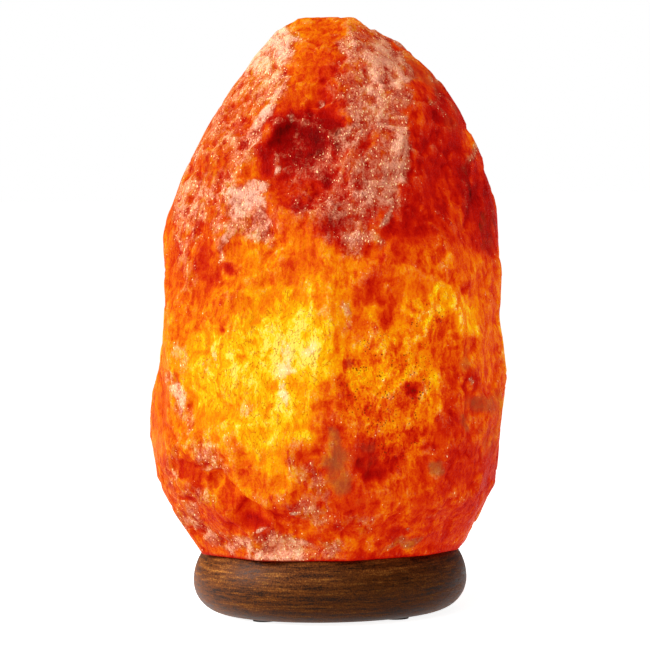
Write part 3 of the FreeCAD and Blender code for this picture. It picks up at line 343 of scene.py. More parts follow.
def rock_salt(stone):
    """Glowing rock salt: painted fields say where it is clear, crusted, clayey or flecked."""
    salt = Recipe("rock_salt_glow")
    field, frost = salt.attribute("clearness"), salt.attribute("frost")
    murk, fleck = salt.attribute("murk"), salt.attribute("fleck")

    # The crystals' patterns, on coordinates that are bent and slanted one way or the other
    bent = salt.bent(11 * MM, 5 * MM)
    slanted = salt.turned(turn=(0, 28, 0), stretch=(1.0, 1.0, 0.42), place=bent)
    other_way = salt.turned(turn=(0, -42, 0), stretch=(1.0, 1.0, 0.50), place=bent)
    patches = salt.crisp(salt.cloud(7 * MM, detail=5, roughness=0.62, place=bent))
    facets = salt.cells(5.5 * MM, output="Color", place=slanted)
    small_facets = salt.cells(2.2 * MM, output="Color", place=other_way)
    flakes = salt.cells(3.0 * MM, output="Color", place=slanted)
    streaks = salt.ridges(salt.cloud(3.4 * MM, detail=4, roughness=0.62, place=slanted), 0.15)
    drifts = salt.ridges(salt.cloud(4.0 * MM, detail=4, roughness=0.62, place=other_way), 0.17)
    grain = salt.crisp(salt.cloud(0.80 * MM, detail=3, roughness=0.75))
    crumbs = salt.crisp(salt.cloud(0.7 * MM, detail=2, roughness=0.7))

    # How clear the salt is, from its field and the crystals' own variety
    liveliness = salt.add_up(salt.times(frost, 0.7), salt.times(fleck, 0.5),
                             salt.step(field, 0.66, 0.92, 0.44, 0.24))
    liveliness = salt.times(liveliness, salt.step(field, 0.24, 0.50, 0.62, 1.0))
    variety = salt.add_up(salt.swing(patches, 0.07), salt.swing(facets, 0.08),
                          salt.swing(small_facets, 0.10), salt.swing(streaks, 0.10),
                          salt.swing(grain, 0.09), GLOW_EVENING)
    clearness = salt.add_up(field, salt.times(variety, liveliness))
    flake = salt.times(salt.step(flakes, 0.60, 0.64), salt.step(field, 0.6, 0.9))
    clearness = salt.math("MULTIPLY_ADD", flake, 0.06, clearness)
    glow = salt.ramp(clearness, GLOW_SCALE)

    # Fine cracks: thin broken lines where the salt is clearest
    cracks = salt.ridges(salt.cloud(4.2 * MM, detail=2, place=other_way), 0.026)
    fine_cracks = salt.ridges(salt.cloud(2.0 * MM, detail=2, place=slanted), 0.034)
    open_salt = salt.step(clearness, 0.62, 0.90)
    cracked = salt.times(salt.math("MAXIMUM", cracks, fine_cracks), open_salt)
    cracked = salt.times(cracked, salt.step(grain, 0.25, 0.60))
    glow = salt.mix(salt.times(cracked, 0.80), glow, stone.crack)

    # Clay, then dark flecks, dull the glow
    clay = salt.step(salt.add_up(murk, salt.swing(patches, 0.16)), 0.15, 0.95)
    glow = salt.mix(salt.times(clay, 0.62), glow, stone.murk)
    specks = salt.cells(1.25 * MM)
    speck = salt.times(salt.math("LESS_THAN", specks, salt.times(fleck, 0.34)),
                       salt.step(salt.cloud(4 * MM, detail=2), 0.46, 0.58))
    glow = salt.mix(salt.times(speck, 0.8), glow, stone.fleck)

    # Crust: sparse bright grains where there is little of it, closed where there is much
    crust_level = salt.add_up(frost, salt.swing(crumbs, 0.14), salt.swing(drifts, 0.17),
                              salt.swing(patches, 0.12), CRUST_EVENING)
    crust = salt.step(crust_level, 0.20, 1.08)
    crust_colour = salt.mix(salt.step(crust_level, 0.40, 1.05), stone.frost_pink, stone.frost)
    glow = salt.mix(salt.times(crust, open_salt), glow, stone.veil)

    # Painted glints: tiny crystal faces painted bright, as if they catch the light, most where the
    # salt is grainy
    painted_glint_cells = salt.cells(1.05 * MM, place=slanted)
    painted_glint_size = salt.times(salt.step(crust_level, 0.0, 0.6), 0.24)
    painted_glint = salt.step(salt.math("SUBTRACT", painted_glint_size, painted_glint_cells), 0.0, 0.10)

    # What daylight shows, and the salt's own light, which the crust hazes and dims
    share = salt.times(crust, salt.step(field, 0.60, 0.88, 0.78, 0.10))
    base = salt.mix(share, salt.dim(glow, stone.body), crust_colour)
    light = salt.mix(share, glow, stone.crust_glow)
    own = salt.step(clearness, 0.55, 0.90, stone.glow, stone.glow + 0.10)
    damped = salt.times(salt.step(frost, 0.10, 0.70, 0.0, 0.36),
                        salt.step(field, 0.60, 0.85, 1.0, 0.0))
    own = salt.times(own, salt.math("SUBTRACT", 1.0, damped))
    shadowed = salt.times(salt.math("MULTIPLY_ADD", crumbs, stone.haze, stone.haze * 0.5),
                          salt.step(field, 0.40, 0.75, 0.92, 1.35))
    strength = salt.math("MULTIPLY_ADD", salt.math("SUBTRACT", shadowed, own), share, own)
    # The painted glints lie over both the colour and the salt's own light
    salt.set("Base Color", salt.mix(painted_glint, base, stone.painted_glint))
    salt.set("Emission Color", salt.mix(painted_glint, light, stone.painted_glint))
    salt.set("Emission Strength", salt.math("MULTIPLY_ADD", painted_glint, 0.25, strength))
    salt.set("Roughness", salt.step(crust_level, 0.1, 0.8, 0.42, 0.90))
    salt.set("Specular IOR Level", 0.025)
    rough = salt.weighed((crumbs, 0.14), (drifts, 0.2), (patches, 0.25), (facets, 0.10))
    salt.set("Normal", salt.bump(rough, 2.2 * MM, 0.9))
    return salt.material


def turned_walnut(foot):
    """Walnut turned on a lathe: fine level lines all round, open pores and a satin finish."""
    wood = Recipe("walnut")
    round_it = wood.turned(turn=(0, 0, 8), stretch=(0.05, 0.10, 1.0))
    fine_round_it = wood.turned(turn=(0, 0, 8), stretch=(0.12, 0.20, 1.0))
    figure = wood.cloud(9 * MM, detail=4, roughness=0.55, place=round_it, distortion=0.4)
    lines = wood.crisp(wood.cloud(1.3 * MM, detail=4, roughness=0.65, place=round_it))
    fine_lines = wood.crisp(wood.cloud(0.6 * MM, detail=2, roughness=0.6, place=fine_round_it))
    dust = wood.crisp(wood.cloud(0.55 * MM, detail=2, roughness=0.7))
    tone = wood.weighed((figure, 0.40), (lines, 0.24), (fine_lines, 0.16), (dust, 0.20))
    stain = wood.mix(wood.step(tone, 0.30, 0.58), foot.wood_dark, foot.wood)
    stain = wood.mix(wood.step(tone, 0.54, 0.78), stain, foot.wood_light)
    pore = wood.step(fine_lines, 0.72, 0.95)
    wood.set("Base Color", wood.mix(wood.times(pore, 0.55), stain, foot.wood_dark))
    wood.set("Roughness", wood.step(tone, 0.3, 0.7, 0.40, 0.54))
    wood.set("Specular IOR Level", 0.10)
    depth = wood.math("MULTIPLY_ADD", pore, -0.5, wood.times(tone, 0.8))
    wood.set("Normal", wood.bump(depth, 0.16 * MM, 0.6))
    return wood.material


def metal(name, colour, roughness, brushed=(1, 1, 1), wear=0.12):
    """Metal with fine drawn lines or plating grain, and slight tarnish."""
    sheet = Recipe(name)
    drawn = sheet.turned(stretch=brushed)
    lines = sheet.cloud(0.35 * MM, detail=3, roughness=0.6, place=drawn)
    tarnish = sheet.cloud(6 * MM, detail=4, roughness=0.6)
    worn = sheet.dim(colour, 1 - 2.4 * wear)
    sheet.set("Base Color", sheet.mix(sheet.step(tarnish, 0.35, 0.65), worn, colour))
    sheet.set("Metallic", 1.0)
    rough = sheet.add_up(sheet.swing(lines, 0.10), sheet.swing(tarnish, 0.08), roughness)
    sheet.set("Roughness", rough)
    sheet.set("Normal", sheet.bump(lines, 0.03 * MM, 0.5))
    return sheet.material


def moulded(name, colour, roughness, mottling=0.06):
    """Moulded plastic, rubber or fired ceramic with a fine skin and slight clouding."""
    body = Recipe(name)
    skin = body.cloud(0.35 * MM, detail=2, roughness=0.6)
    clouding = body.cloud(7 * MM)
    base = body.dim(colour, 1 - mottling)
    body.set("Base Color", body.mix(body.step(clouding, 0.35, 0.65), base, colour))
    rough = body.add_up(body.swing(skin, 0.08), body.swing(clouding, 0.05), roughness)
    body.set("Roughness", rough)
    body.set("Normal", body.bump(skin, 0.02 * MM, 0.6))
    return body.material


def wool_felt(colour):
    """Pressed felt: matted fibres, no gloss."""
    felt = Recipe("felt")
    fibres = felt.cloud(0.5 * MM, detail=4, roughness=0.8, distortion=2.0)
    clumps = felt.cloud(2.5 * MM, detail=3, roughness=0.6)
    shade = felt.weighed((fibres, 0.7), (clumps, 0.3))
    pale = felt.dim(colour, 2.4)
    felt.set("Base Color", felt.mix(felt.step(shade, 0.4, 0.66), felt.dim(colour, 0.6), pale))
    felt.set("Roughness", felt.math("MULTIPLY_ADD", fibres, 0.1, 0.88))
    felt.set("Sheen Weight", 0.35)
    felt.set("Specular IOR Level", 0.2)
    felt.set("Normal", felt.bump(fibres, 0.25 * MM, 0.9))
    return felt.material


def blown_glass(colour):
    """Clear glass with the faint waviness of a small blown bulb."""
    glass = Recipe("clear_glass")
    waves = glass.cloud(6 * MM, detail=2)
    haze = glass.cloud(2 * MM, detail=3, roughness=0.6)
    dulled = glass.dim(colour, 0.97)
    glass.set("Base Color", glass.mix(glass.step(haze, 0.4, 0.6), dulled, colour))
    glass.set("Roughness", glass.step(haze, 0.4, 0.8, 0.015, 0.05))
    glass.set("Transmission Weight", 1.0)
    glass.set("IOR", 1.5)
    glass.set("Normal", glass.bump(waves, 0.05 * MM, 0.3))
    return glass.material


def lit_coil(colour, power):
    """The glowing filament, hotter between its turns."""
    coil = Recipe("tungsten")
    turns = coil.cloud(0.8 * MM, detail=2)
    coil.set("Base Color", coil.mix(turns, written(120, 112, 104), written(168, 160, 150)))
    coil.set("Metallic", 1.0)
    coil.set("Roughness", coil.math("MULTIPLY_ADD", turns, 0.1, 0.4))
    coil.set("Emission Color", coil.mix(turns, coil.dim(colour, 0.8), colour))
    coil.set("Emission Strength", power)
    return coil.material


def give(piece, material):
    """Puts one material in every slot of a piece."""
    if not piece.data.materials:
        piece.data.materials.append(material)
    for slot in piece.material_slots:
        slot.material = material


def dress(material, *names):
    """Gives one finish to CAD pieces."""
    for name in names:
        give(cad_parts[name], material)


# ---------------------------------------------------------------------------------------------
# Making pieces

SEWN = 0.002 * MM                  # points of a CAD mesh this close are one point
LEVEL = math.radians(0.6)          # faces that meet under this angle are one face
SHARP = math.radians(32)           # edges over this angle are eased and stay crisp


def new_piece(name, mesh, body, slot, *stands_for):
    """Puts a finished mesh into the scene as a piece that rides a body."""
    mesh.name = name
    piece = bpy.data.objects.new(name, mesh)
    bpy.context.scene.collection.objects.link(piece)
    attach(piece, body)
    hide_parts(*stands_for)
    return piece


def merged_copy(node):
    """A bmesh of a CAD node with its loose triangles sewn together."""
    shape = bmesh.new()
    shape.from_mesh(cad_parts[node].data)
    bmesh.ops.remove_doubles(shape, verts=shape.verts, dist=SEWN)
    bmesh.ops.recalc_face_normals(shape, faces=shape.faces)
    return shape


def eased(node, ease):
    """A sewn copy of a CAD node whose sharp edges are eased by a small bevel."""
    shape = merged_copy(node)
    bmesh.ops.dissolve_limit(shape, angle_limit=LEVEL, use_dissolve_boundaries=False,
                             verts=shape.verts, edges=shape.edges, delimit=set())
    edges = [edge for edge in shape.edges
             if len(edge.link_faces) == 2 and edge.calc_face_angle(0) > SHARP]
    bmesh.ops.bevel(shape, geom=edges, offset=ease, offset_type="OFFSET", segments=2,
                    profile=0.5, affect="EDGES", clamp_overlap=True, material=-1)
    mesh = bpy.data.meshes.new(node)
    shape.to_mesh(mesh)
    shape.free()
    mesh.polygons.foreach_set("use_smooth", [True] * len(mesh.polygons))
    mesh.set_sharp_from_angle(angle=SHARP)
    mesh.update()
    return mesh


# ---------------------------------------------------------------------------------------------
# The stone. Places on it are in millimetres as the front shows them: across, then height.

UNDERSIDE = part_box("salt_crystal")[0].z / MM
BORE_REACH, BORE_TOP = 25.5, 146.0    # the hole for the bulb, whose skin stays uncut
LIP = 1.2                             # rim at the underside that stays uncut
BULB_HEIGHT, GLOW_REACH = 98, 42      # where the stone glows most, and how far up and down
FRONT_END, FRONT_FADE = 12, 16        # how far back the painted front goes, and its soft end
FLAT_SHARE = 0.5                      # cut here of each flat below, as the CAD has the rest
CHIP_LEAN, CHIP_REACH = 0.07, 12      # how far a small chip leans and spreads
DEEPEST_BREAK = 1.7                   # how deep the small broken faces go at most
EDGE_RELIEF = 0.20                    # relief that counts as a full edge or hollow
# FOOT_SHADE is the height of the painted contact shadow along the stone's foot
FOOT_SHADE = 3.2                      # height of the dark band above the foot
ROOM_SIDE = np.array((-0.74, -0.22, 0.63))    # the way to the room's light

# Large flats: across, height, yaw to the right, pitch upwards, depth, reach
FRONT_FLATS = (
    (46, 188, 48, 8, 2.6, 40),     # smooth face right of the ridge
    (62, 170, 66, 4, 1.6, 28),
    (39, 166, 30, 2, 1.8, 22),     # step right of the grainy slab
    (40, 220, 42, 40, 1.6, 22),
    (20, 214, 8, 26, 1.5, 24),     # grainy ridge
    (19, 196, 3, 8, 1.0, 18),
    (-6, 220, -8, 32, 1.6, 20),    # clear face under the top
    (-24, 222, -34, 40, 2.0, 24),
    (-38, 203, -40, 34, 1.6, 24),
    (-46, 182, -46, 14, 1.6, 22),
    (-31, 167, -16, 6, 1.1, 14),   # bleached flat
    (-53, 160, -52, 4, 1.5, 24),
    (-58, 138, -58, -2, 1.3, 20),
    (20, 170, 8, 3, 1.1, 18),      # grainy slab
    (8, 152, 2, 2, 0.9, 16),
    (-14, 146, -8, 4, 1.0, 16),
    (-42, 124, -34, 2, 1.1, 20),
    (-20, 116, -12, 0, 0.9, 16),
    (-46, 98, -38, -2, 1.2, 20),
    (-16, 92, -10, -2, 0.9, 16),
    (8, 108, 8, 0, 1.0, 16),
    (32, 122, 24, 2, 1.3, 20),
    (54, 118, 50, 0, 1.5, 18),
    (34, 94, 22, -1, 1.0, 18),
    (56, 92, 48, -4, 1.4, 20),
    (64, 76, 62, -8, 1.4, 18),
    (26, 70, 18, -2, 1.0, 18),
    (50, 62, 44, -12, 1.6, 20),
    (3, 62, 0, -8, 1.2, 16),
    (30, 44, 26, -30, 1.4, 20),
    (52, 40, 48, -34, 1.6, 20),
    (4, 40, 2, -30, 1.2, 18),
    (-14, 36, -12, -36, 1.3, 16),
    (-22, 64, -18, -6, 0.9, 14),
    (-50, 42, -48, -34, 1.6, 18),
    (-62, 64, -60, -12, 1.3, 18),
    (-64, 88, -64, 0, 1.2, 18),
)

# Scoops, as broken shell shapes: across, height, radius of the ball, depth
FRONT_SCOOPS = (
    (-8, 191, 22, 2.6),      # crimson hollow under the top
    (-20, 184, 14, 1.4),
    (1, 213, 9, 0.9),
    (-31, 149, 13, 1.5),     # clear hollow under the bleached flat
    (-24, 158, 8, 0.6),
    (-37, 140, 6, 0.8),
    (19, 132, 9, 1.1),       # red pit
    (24, 120, 9, 0.8),
    (33, 74, 5, 0.8),
    (18, 60, 13, 1.3),
    (7, 98, 8, 0.8),
    (33, 92, 9, 0.8),
    (-19, 57, 7, 1.0),
    (-30, 42, 9, 2.6),       # dark hollow in the groove
    (-26, 36, 6, 0.9),
    (-17, 91, 6, 0.6),
    (-12, 105, 10, 0.7),
    (56, 131, 6, 0.9),
    (45, 128, 10, 0.7),
    (40, 88, 12, 0.6),
    (58, 84, 12, 0.9),
    (-58, 92, 8, 0.6),
    (24, 36, 9, 0.7),
    (-8, 48, 12, 0.8),
)

# Grooves: from across and height, to across and height, radius, depth
FRONT_GROOVES = (
    (-60, 62, -44, 57, 4.5, 1.9),    # under the pink boss
    (-44, 57, -26, 39, 6.0, 2.2),
    (36, 200, 33, 172, 5.0, 0.7),    # foot of the ridge on its right
    (-19, 202, 2, 203, 3.5, 0.8),    # lip over the crimson hollow
    (-20, 200, -28, 189, 3.0, 0.6),
    (22, 126, 25, 112, 4.0, 0.6),
    (-42, 172, -43, 150, 3.5, 0.7),
    (11, 190, 4, 182, 3.0, 0.5),
)

# Fields painted on the front. Each dab: across, height, half width, half height, tilt in
# degrees, value, softness of the edge. A dab lies over those before it, so their order counts.

# How clearly the light comes through, from 0 for dark red to 1 for bright yellow
CLEAR_DABS = (
    # large tones first
    (-34, 205, 22, 24, -45, 0.59, 0.5), (-4, 226, 16, 14, 0, 0.57, 0.5),
    (24, 212, 20, 20, -20, 0.48, 0.5), (46, 208, 10, 16, -30, 0.42, 0.5),
    (-3, 184, 22, 20, 0, 0.28, 0.45), (18, 176, 15, 26, 0, 0.41, 0.5),
    (48, 178, 15, 28, 5, 0.33, 0.4), (62, 162, 7, 22, 0, 0.31, 0.5),
    (-33, 172, 13, 16, 0, 0.55, 0.5), (-54, 160, 10, 26, 0, 0.58, 0.5),
    (-10, 151, 28, 9, 0, 0.61, 0.5), (20, 140, 18, 12, 0, 0.52, 0.6),
    (50, 139, 16, 12, 0, 0.54, 0.6), (-42, 128, 20, 12, 0, 0.62, 0.6),
    (-24, 102, 34, 28, 0, 0.84, 0.6), (-26, 80, 20, 14, 0, 0.83, 0.6),
    (30, 112, 22, 18, 0, 0.70, 0.6), (54, 104, 14, 18, 0, 0.55, 0.6), (8, 88, 12, 14, 0, 0.58, 0.6),
    (27, 82, 13, 14, 0, 0.64, 0.6), (52, 78, 16, 16, 0, 0.46, 0.6), (14, 65, 14, 11, 0, 0.40, 0.6),
    (48, 58, 18, 14, 0, 0.44, 0.6), (34, 42, 26, 12, 0, 0.46, 0.6), (0, 43, 20, 14, 0, 0.50, 0.6),
    (-18, 58, 12, 14, 0, 0.56, 0.6), (-40, 50, 16, 14, 0, 0.53, 0.6),
    (-56, 50, 12, 18, 0, 0.52, 0.6), (-62, 80, 8, 20, 0, 0.59, 0.6),
    # crown, from the left slope to the right
    (-24, 221, 12, 13, -40, 0.66, 0.6), (-36, 205, 12, 11, -50, 0.62, 0.6),
    (-45, 191, 8, 10, -30, 0.58, 0.6), (-46, 181, 4, 7, -10, 0.52, 0.4),
    (-28, 208, 6, 2.5, 20, 0.58, 0.4), (-36, 194, 5, 8, -30, 0.60, 0.5),
    (-9, 231, 9, 8, 0, 0.67, 0.5), (-5, 222, 11, 9, 0, 0.575, 0.5), (-8, 210, 10, 7, 0, 0.535, 0.4),
    (2, 226, 5, 9, 0, 0.53, 0.5), (11, 234, 13, 6, 0, 0.60, 0.5), (16, 222, 12, 9, 0, 0.54, 0.6),
    (24, 212, 12, 12, 0, 0.52, 0.6), (32, 224, 6, 8, -40, 0.46, 0.5),
    (42, 213, 13, 9, -45, 0.43, 0.5), (1, 211, 2.6, 8, 10, 0.30, 0.5),
    (5, 218, 3, 5, -30, 0.42, 0.5), (17, 203, 12, 12, 0, 0.50, 0.6), (9, 205, 3, 5, 0, 0.46, 0.5),
    (34, 202, 5, 6, 0, 0.42, 0.6),
    # crimson hollow and the grainy red round it
    (-12, 194, 8, 6, 0, 0.18, 0.4), (-4, 193, 8, 9, 0, 0.16, 0.5), (4, 190, 4, 8, -10, 0.13, 0.4),
    (-10, 185, 10, 7, 0, 0.22, 0.5), (-22, 184, 4.5, 6, 10, 0.28, 0.35),
    (-22, 192, 3, 3.5, 0, 0.46, 0.5), (-2, 179, 9, 6, 0, 0.22, 0.5), (-16, 176, 7, 5, 0, 0.33, 0.5),
    (-8, 171, 8, 5, 0, 0.42, 0.5), (-10, 164, 6, 4, -15, 0.22, 0.5), (-17, 168, 5, 6, 0, 0.45, 0.5),
    (-4, 159, 6, 4, 0, 0.46, 0.6), (3, 166, 5, 8, 0, 0.36, 0.6), (3, 155, 6, 4, -10, 0.34, 0.5),
    (6, 151, 3.5, 3.5, 0, 0.30, 0.5), (-16, 157, 8, 5, 0, 0.56, 0.5),
    (12, 180, 9, 12, 0, 0.40, 0.7), (22, 184, 8, 14, 0, 0.45, 0.7), (16, 166, 12, 9, 0, 0.36, 0.6),
    (26, 174, 5, 9, 0, 0.44, 0.6), (12, 155, 7, 6, 0, 0.44, 0.6), (17, 190, 2, 7, -30, 0.36, 0.5),
    # smooth face on the right
    (42, 196, 8, 9, 0, 0.38, 0.5), (42, 188, 8, 8, 0, 0.34, 0.5), (49, 180, 10, 11, 0, 0.28, 0.6),
    (52, 197, 4, 8, -15, 0.30, 0.5), (46, 165, 11, 10, 0, 0.36, 0.6),
    (35, 166, 4, 12, 0, 0.26, 0.5), (61, 173, 5, 10, -10, 0.12, 0.6),
    (59, 188, 3.5, 8, -22, 0.60, 0.35), (64, 178, 2.5, 6, -15, 0.5, 0.5),
    (50, 158, 3, 7, 10, 0.20, 0.6), (28, 154, 5, 6, -20, 0.32, 0.6), (38, 153, 9, 5, 0, 0.26, 0.6),
    (56, 151, 9, 8, 0, 0.41, 0.6), (54, 165, 2, 10, 22, 0.38, 0.6), (67, 155, 4, 13, 0, 0.42, 0.5),
    (62, 149, 2, 5, 0, 0.30, 0.5), (30, 144, 4, 5, 0, 0.34, 0.5), (44, 145, 12, 5, 0, 0.47, 0.6),
    # right middle: red pit and vein, yellow windows
    (36, 137, 10, 7, 0, 0.57, 0.5), (56, 138, 10, 7, 0, 0.56, 0.6), (10, 138, 8, 7, 0, 0.68, 0.6),
    (20, 133, 7.5, 7, 0, 0.44, 0.5), (19, 131, 2.6, 3.2, 30, 0.34, 0.6),
    (25, 139, 3, 5, -30, 0.42, 0.5), (15, 127, 3, 4, 0, 0.45, 0.5), (27, 130, 4, 9, 0, 0.60, 0.5),
    (24, 122, 2.2, 7, -8, 0.50, 0.6), (21, 115, 3, 4, 0, 0.46, 0.5), (34, 127, 4, 6, 0, 0.66, 0.5),
    (45, 128, 5, 6, -35, 0.74, 0.3), (43, 122, 4, 4, 0, 0.72, 0.4),
    (56, 119, 4.6, 8, 15, 0.76, 0.3), (37, 117, 8, 8, 0, 0.68, 0.4),
    (44, 118, 3, 2.5, 0, 0.45, 0.5), (48, 110, 6, 6, 0, 0.57, 0.5),
    (56, 131, 2.2, 2.8, 0, 0.40, 0.4), (67, 124, 4, 24, 0, 0.55, 0.5),
    (12, 117, 5, 8, 0, 0.64, 0.6), (57, 108, 4, 3, 0, 0.48, 0.6),
    # yellow field with its dark patches
    (29, 105, 13, 8, 0, 0.72, 0.4), (14, 99, 9, 7, 0, 0.76, 0.5), (34, 110, 8, 5, 0, 0.66, 0.4),
    (20, 92, 8, 4, 0, 0.72, 0.5), (40, 90, 3, 12, 0, 0.76, 0.3), (33, 93, 6.5, 4, 15, 0.44, 0.4),
    (33, 92, 2.8, 1.6, 35, 0.26, 0.4), (26, 88, 5, 2.5, 10, 0.46, 0.5),
    (28, 84, 3, 3, 0, 0.55, 0.5), (7, 104, 3, 3.6, 10, 0.46, 0.4), (6, 94, 2.6, 4.6, 20, 0.42, 0.4),
    (1, 92, 5, 6, 0, 0.56, 0.5), (3, 84, 4, 8, 10, 0.54, 0.5), (-3, 83, 5, 9, 0, 0.66, 0.6),
    (11, 84, 6, 8, 0, 0.56, 0.6), (26, 77, 8, 8, 0, 0.64, 0.5), (36, 84, 3.6, 6, 0, 0.62, 0.4),
    (33, 74, 1.8, 2.4, 15, 0.28, 0.3), (40, 74, 3, 3, 0, 0.5, 0.5),
    # lower middle: crimson and clay
    (13, 67, 6, 7, 0, 0.32, 0.6), (20, 72, 3, 6, 0, 0.46, 0.6), (18, 60, 5, 2.6, 10, 0.20, 0.6),
    (24, 62, 2.6, 2.6, 30, 0.26, 0.6), (31, 64, 6, 13, 0, 0.57, 0.5), (34, 50, 6, 8, 0, 0.49, 0.6),
    (10, 56, 6, 5, 0, 0.40, 0.6), (4, 66, 4, 8, 0, 0.46, 0.5), (12, 47, 8, 6, 0, 0.42, 0.6),
    # right lower
    (50, 86, 8, 9, 0, 0.45, 0.5), (46, 81, 4, 5, 0, 0.31, 0.5), (52, 98, 7, 5, 0, 0.46, 0.5),
    (58, 95, 3, 3, 0, 0.32, 0.5), (62, 86, 7, 7, -20, 0.42, 0.5), (41, 70, 2.6, 2, 0, 0.30, 0.4),
    (45, 62, 6, 6, 0, 0.38, 0.6), (53, 66, 7, 9, 0, 0.36, 0.6), (58, 58, 4, 8, -10, 0.38, 0.6),
    (64, 70, 5, 9, 0, 0.50, 0.6), (69, 92, 3, 14, 0, 0.52, 0.5), (24, 36, 7, 3.4, 10, 0.39, 0.5),
    (30, 45, 9, 5, 0, 0.50, 0.6), (48, 36, 10, 6, 25, 0.42, 0.6), (56, 47, 6, 8, 30, 0.38, 0.6),
    (40, 47, 4, 9, 10, 0.44, 0.6), (12, 34, 8, 5, 0, 0.52, 0.6),
    # lower middle left
    (-12, 55, 5, 7, 0, 0.63, 0.5), (-18, 57, 2.4, 3.6, 10, 0.36, 0.6),
    (-22, 64, 4, 5, 20, 0.52, 0.5), (-21, 52, 3, 3, 0, 0.42, 0.5), (-11, 69, 7, 4, 0, 0.56, 0.5),
    (-5, 72, 4.5, 3.5, 0, 0.46, 0.5), (-5, 63, 3, 6, 20, 0.48, 0.5),
    (-12, 47, 5, 2.4, 10, 0.40, 0.5), (-6, 38, 8, 6, 0, 0.53, 0.6), (-19, 42, 4, 6, 10, 0.42, 0.6),
    (3, 49, 6, 4, 0, 0.46, 0.6), (4, 38, 7, 6, 0, 0.50, 0.6),
    # pink boss, groove and hollow on the lower left
    (-47, 67, 6, 7, 0, 0.64, 0.4), (-43, 76, 6, 3.4, 35, 0.60, 0.4), (-53, 74, 5, 9, 15, 0.66, 0.6),
    (-50, 59, 8, 1.8, -12, 0.42, 0.4), (-41, 52, 5.5, 8, 30, 0.52, 0.4),
    (-37, 48, 4, 5, 30, 0.46, 0.5), (-30, 41, 3.4, 3.6, 35, 0.18, 0.5),
    (-27, 36, 3, 4, 0, 0.36, 0.6), (-36, 40, 6, 5, 0, 0.46, 0.6), (-51, 51, 6, 4, 0, 0.45, 0.5),
    (-46, 42, 8, 6, 0, 0.47, 0.6), (-29, 51, 6, 4, 35, 0.60, 0.5), (-24, 49, 3, 4, 0, 0.56, 0.5),
    (-33, 57, 5, 5, 0, 0.62, 0.6), (-55, 47, 6, 8, 20, 0.51, 0.6),
    # left edge
    (-66, 86, 4, 12, 0, 0.57, 0.5), (-68, 102, 4, 14, 0, 0.64, 0.5), (-61, 74, 4, 10, 0, 0.60, 0.5),
    (-63, 60, 4, 8, 0, 0.55, 0.5), (-52, 60, 3, 8, -20, 0.5, 0.5),
    # the bright middle round the bulb
    (-28, 77, 15, 9, 0, 0.82, 0.7), (-19, 68, 7, 11, 0, 0.80, 0.6), (-28, 90, 17, 11, 0, 0.87, 0.7),
    (-52, 104, 7, 13, 0, 0.79, 0.6), (-42, 92, 8, 10, 0, 0.80, 0.7),
    (-40, 104, 12, 12, 0, 0.85, 0.7), (-27, 107, 13, 11, 0, 0.90, 0.7),
    (-13, 118, 14, 8, 20, 0.90, 0.6), (-27, 119, 13, 7, 15, 0.85, 0.6),
    (-14, 82, 6, 12, 0, 0.82, 0.6), (-9, 106, 7, 9, 0, 0.93, 0.6), (-16, 107, 9, 8, -20, 0.95, 0.6),
    (-12, 104, 5, 4, -10, 1.00, 0.5), (-4, 98, 4, 3, 0, 0.88, 0.5),
    (-17, 90, 2.4, 5.5, 8, 0.97, 0.4), (2, 123, 6, 9, 0, 0.78, 0.6), (4, 111, 4, 8, 0, 0.76, 0.6),
    (0, 132, 10, 6, 0, 0.72, 0.6), (-14, 131, 13, 5, 15, 0.78, 0.6),
    (-29, 129, 10, 5, 20, 0.74, 0.6), (-5, 144, 8, 5, 0, 0.66, 0.6), (-8, 92, 4, 5, 0, 0.8, 0.5),
    # left middle
    (-42, 126, 13, 8, 10, 0.63, 0.6), (-53, 128, 8, 9, 0, 0.61, 0.6),
    (-15, 140, 10, 5, 10, 0.60, 0.6), (-12, 149, 11, 5, 0, 0.64, 0.6),
    (-30, 138, 8, 5, 20, 0.70, 0.6), (-31, 148, 7, 4.5, 0, 0.685, 0.3),
    (-50, 141, 4, 5, 0, 0.38, 0.5), (-45, 137, 4, 3, 0, 0.48, 0.5),
    (-36, 139.5, 2.6, 1.6, -20, 0.33, 0.5), (-40, 128, 1.3, 2, 0, 0.44, 0.5),
    (-36, 128, 1.1, 1.5, 0, 0.46, 0.5), (-41, 118, 1.1, 1.4, 0, 0.44, 0.5),
    (-47, 160, 3.4, 14, 2, 0.54, 0.5), (-48, 147, 3.4, 7, 0, 0.46, 0.5),
    (-57, 160, 4, 14, 0, 0.62, 0.5), (-58, 145, 4, 9, 0, 0.60, 0.5), (-22, 165, 4, 8, 0, 0.50, 0.5),
    (-33, 157, 5, 2.4, 8, 0.62, 0.4), (-36, 180, 9, 7, 0, 0.55, 0.6),
    (-29, 177, 5, 3, 0, 0.50, 0.5), (-52, 172, 6, 8, -10, 0.60, 0.6),
    # small touches all over the front, on top of the tones above
    (-38, 71, 6, 3.6, 20, 0.66, 0.6), (26, 66, 4, 4, 0, 0.38, 0.6), (0, 82, 5, 8, 10, 0.50, 0.6),
    (24, 84, 4, 3, 0, 0.52, 0.6), (20, 109, 5, 5, 0, 0.62, 0.6), (46, 201, 4, 8, -20, 0.24, 0.6),
    (-24, 128, 8, 4, 10, 0.77, 0.6), (-60, 84, 4, 8, 0, 0.70, 0.6), (4, 42, 5, 4, 0, 0.42, 0.6),
    (45, 127, 4, 4, -35, 0.80, 0.5), (-13, 113, 6, 5, 0, 0.96, 0.6), (54, 160, 3, 7, 0, 0.44, 0.6),
    (-28, 82, 16, 10, 10, 0.85, 0.7), (-47, 60, 5, 6, 0, 0.58, 0.6), (67, 162, 5, 16, 0, 0.20, 0.6),
    (-5, 215, 5, 4, 0, 0.58, 0.6), (-30, 178, 6, 4, 0, 0.60, 0.6), (5, 205, 4, 4, 0, 0.40, 0.6),
    (-25, 128, 7, 4, 10, 0.80, 0.6), (14, 118, 4, 5, 0, 0.56, 0.6), (-60, 115, 4, 6, 0, 0.68, 0.6),
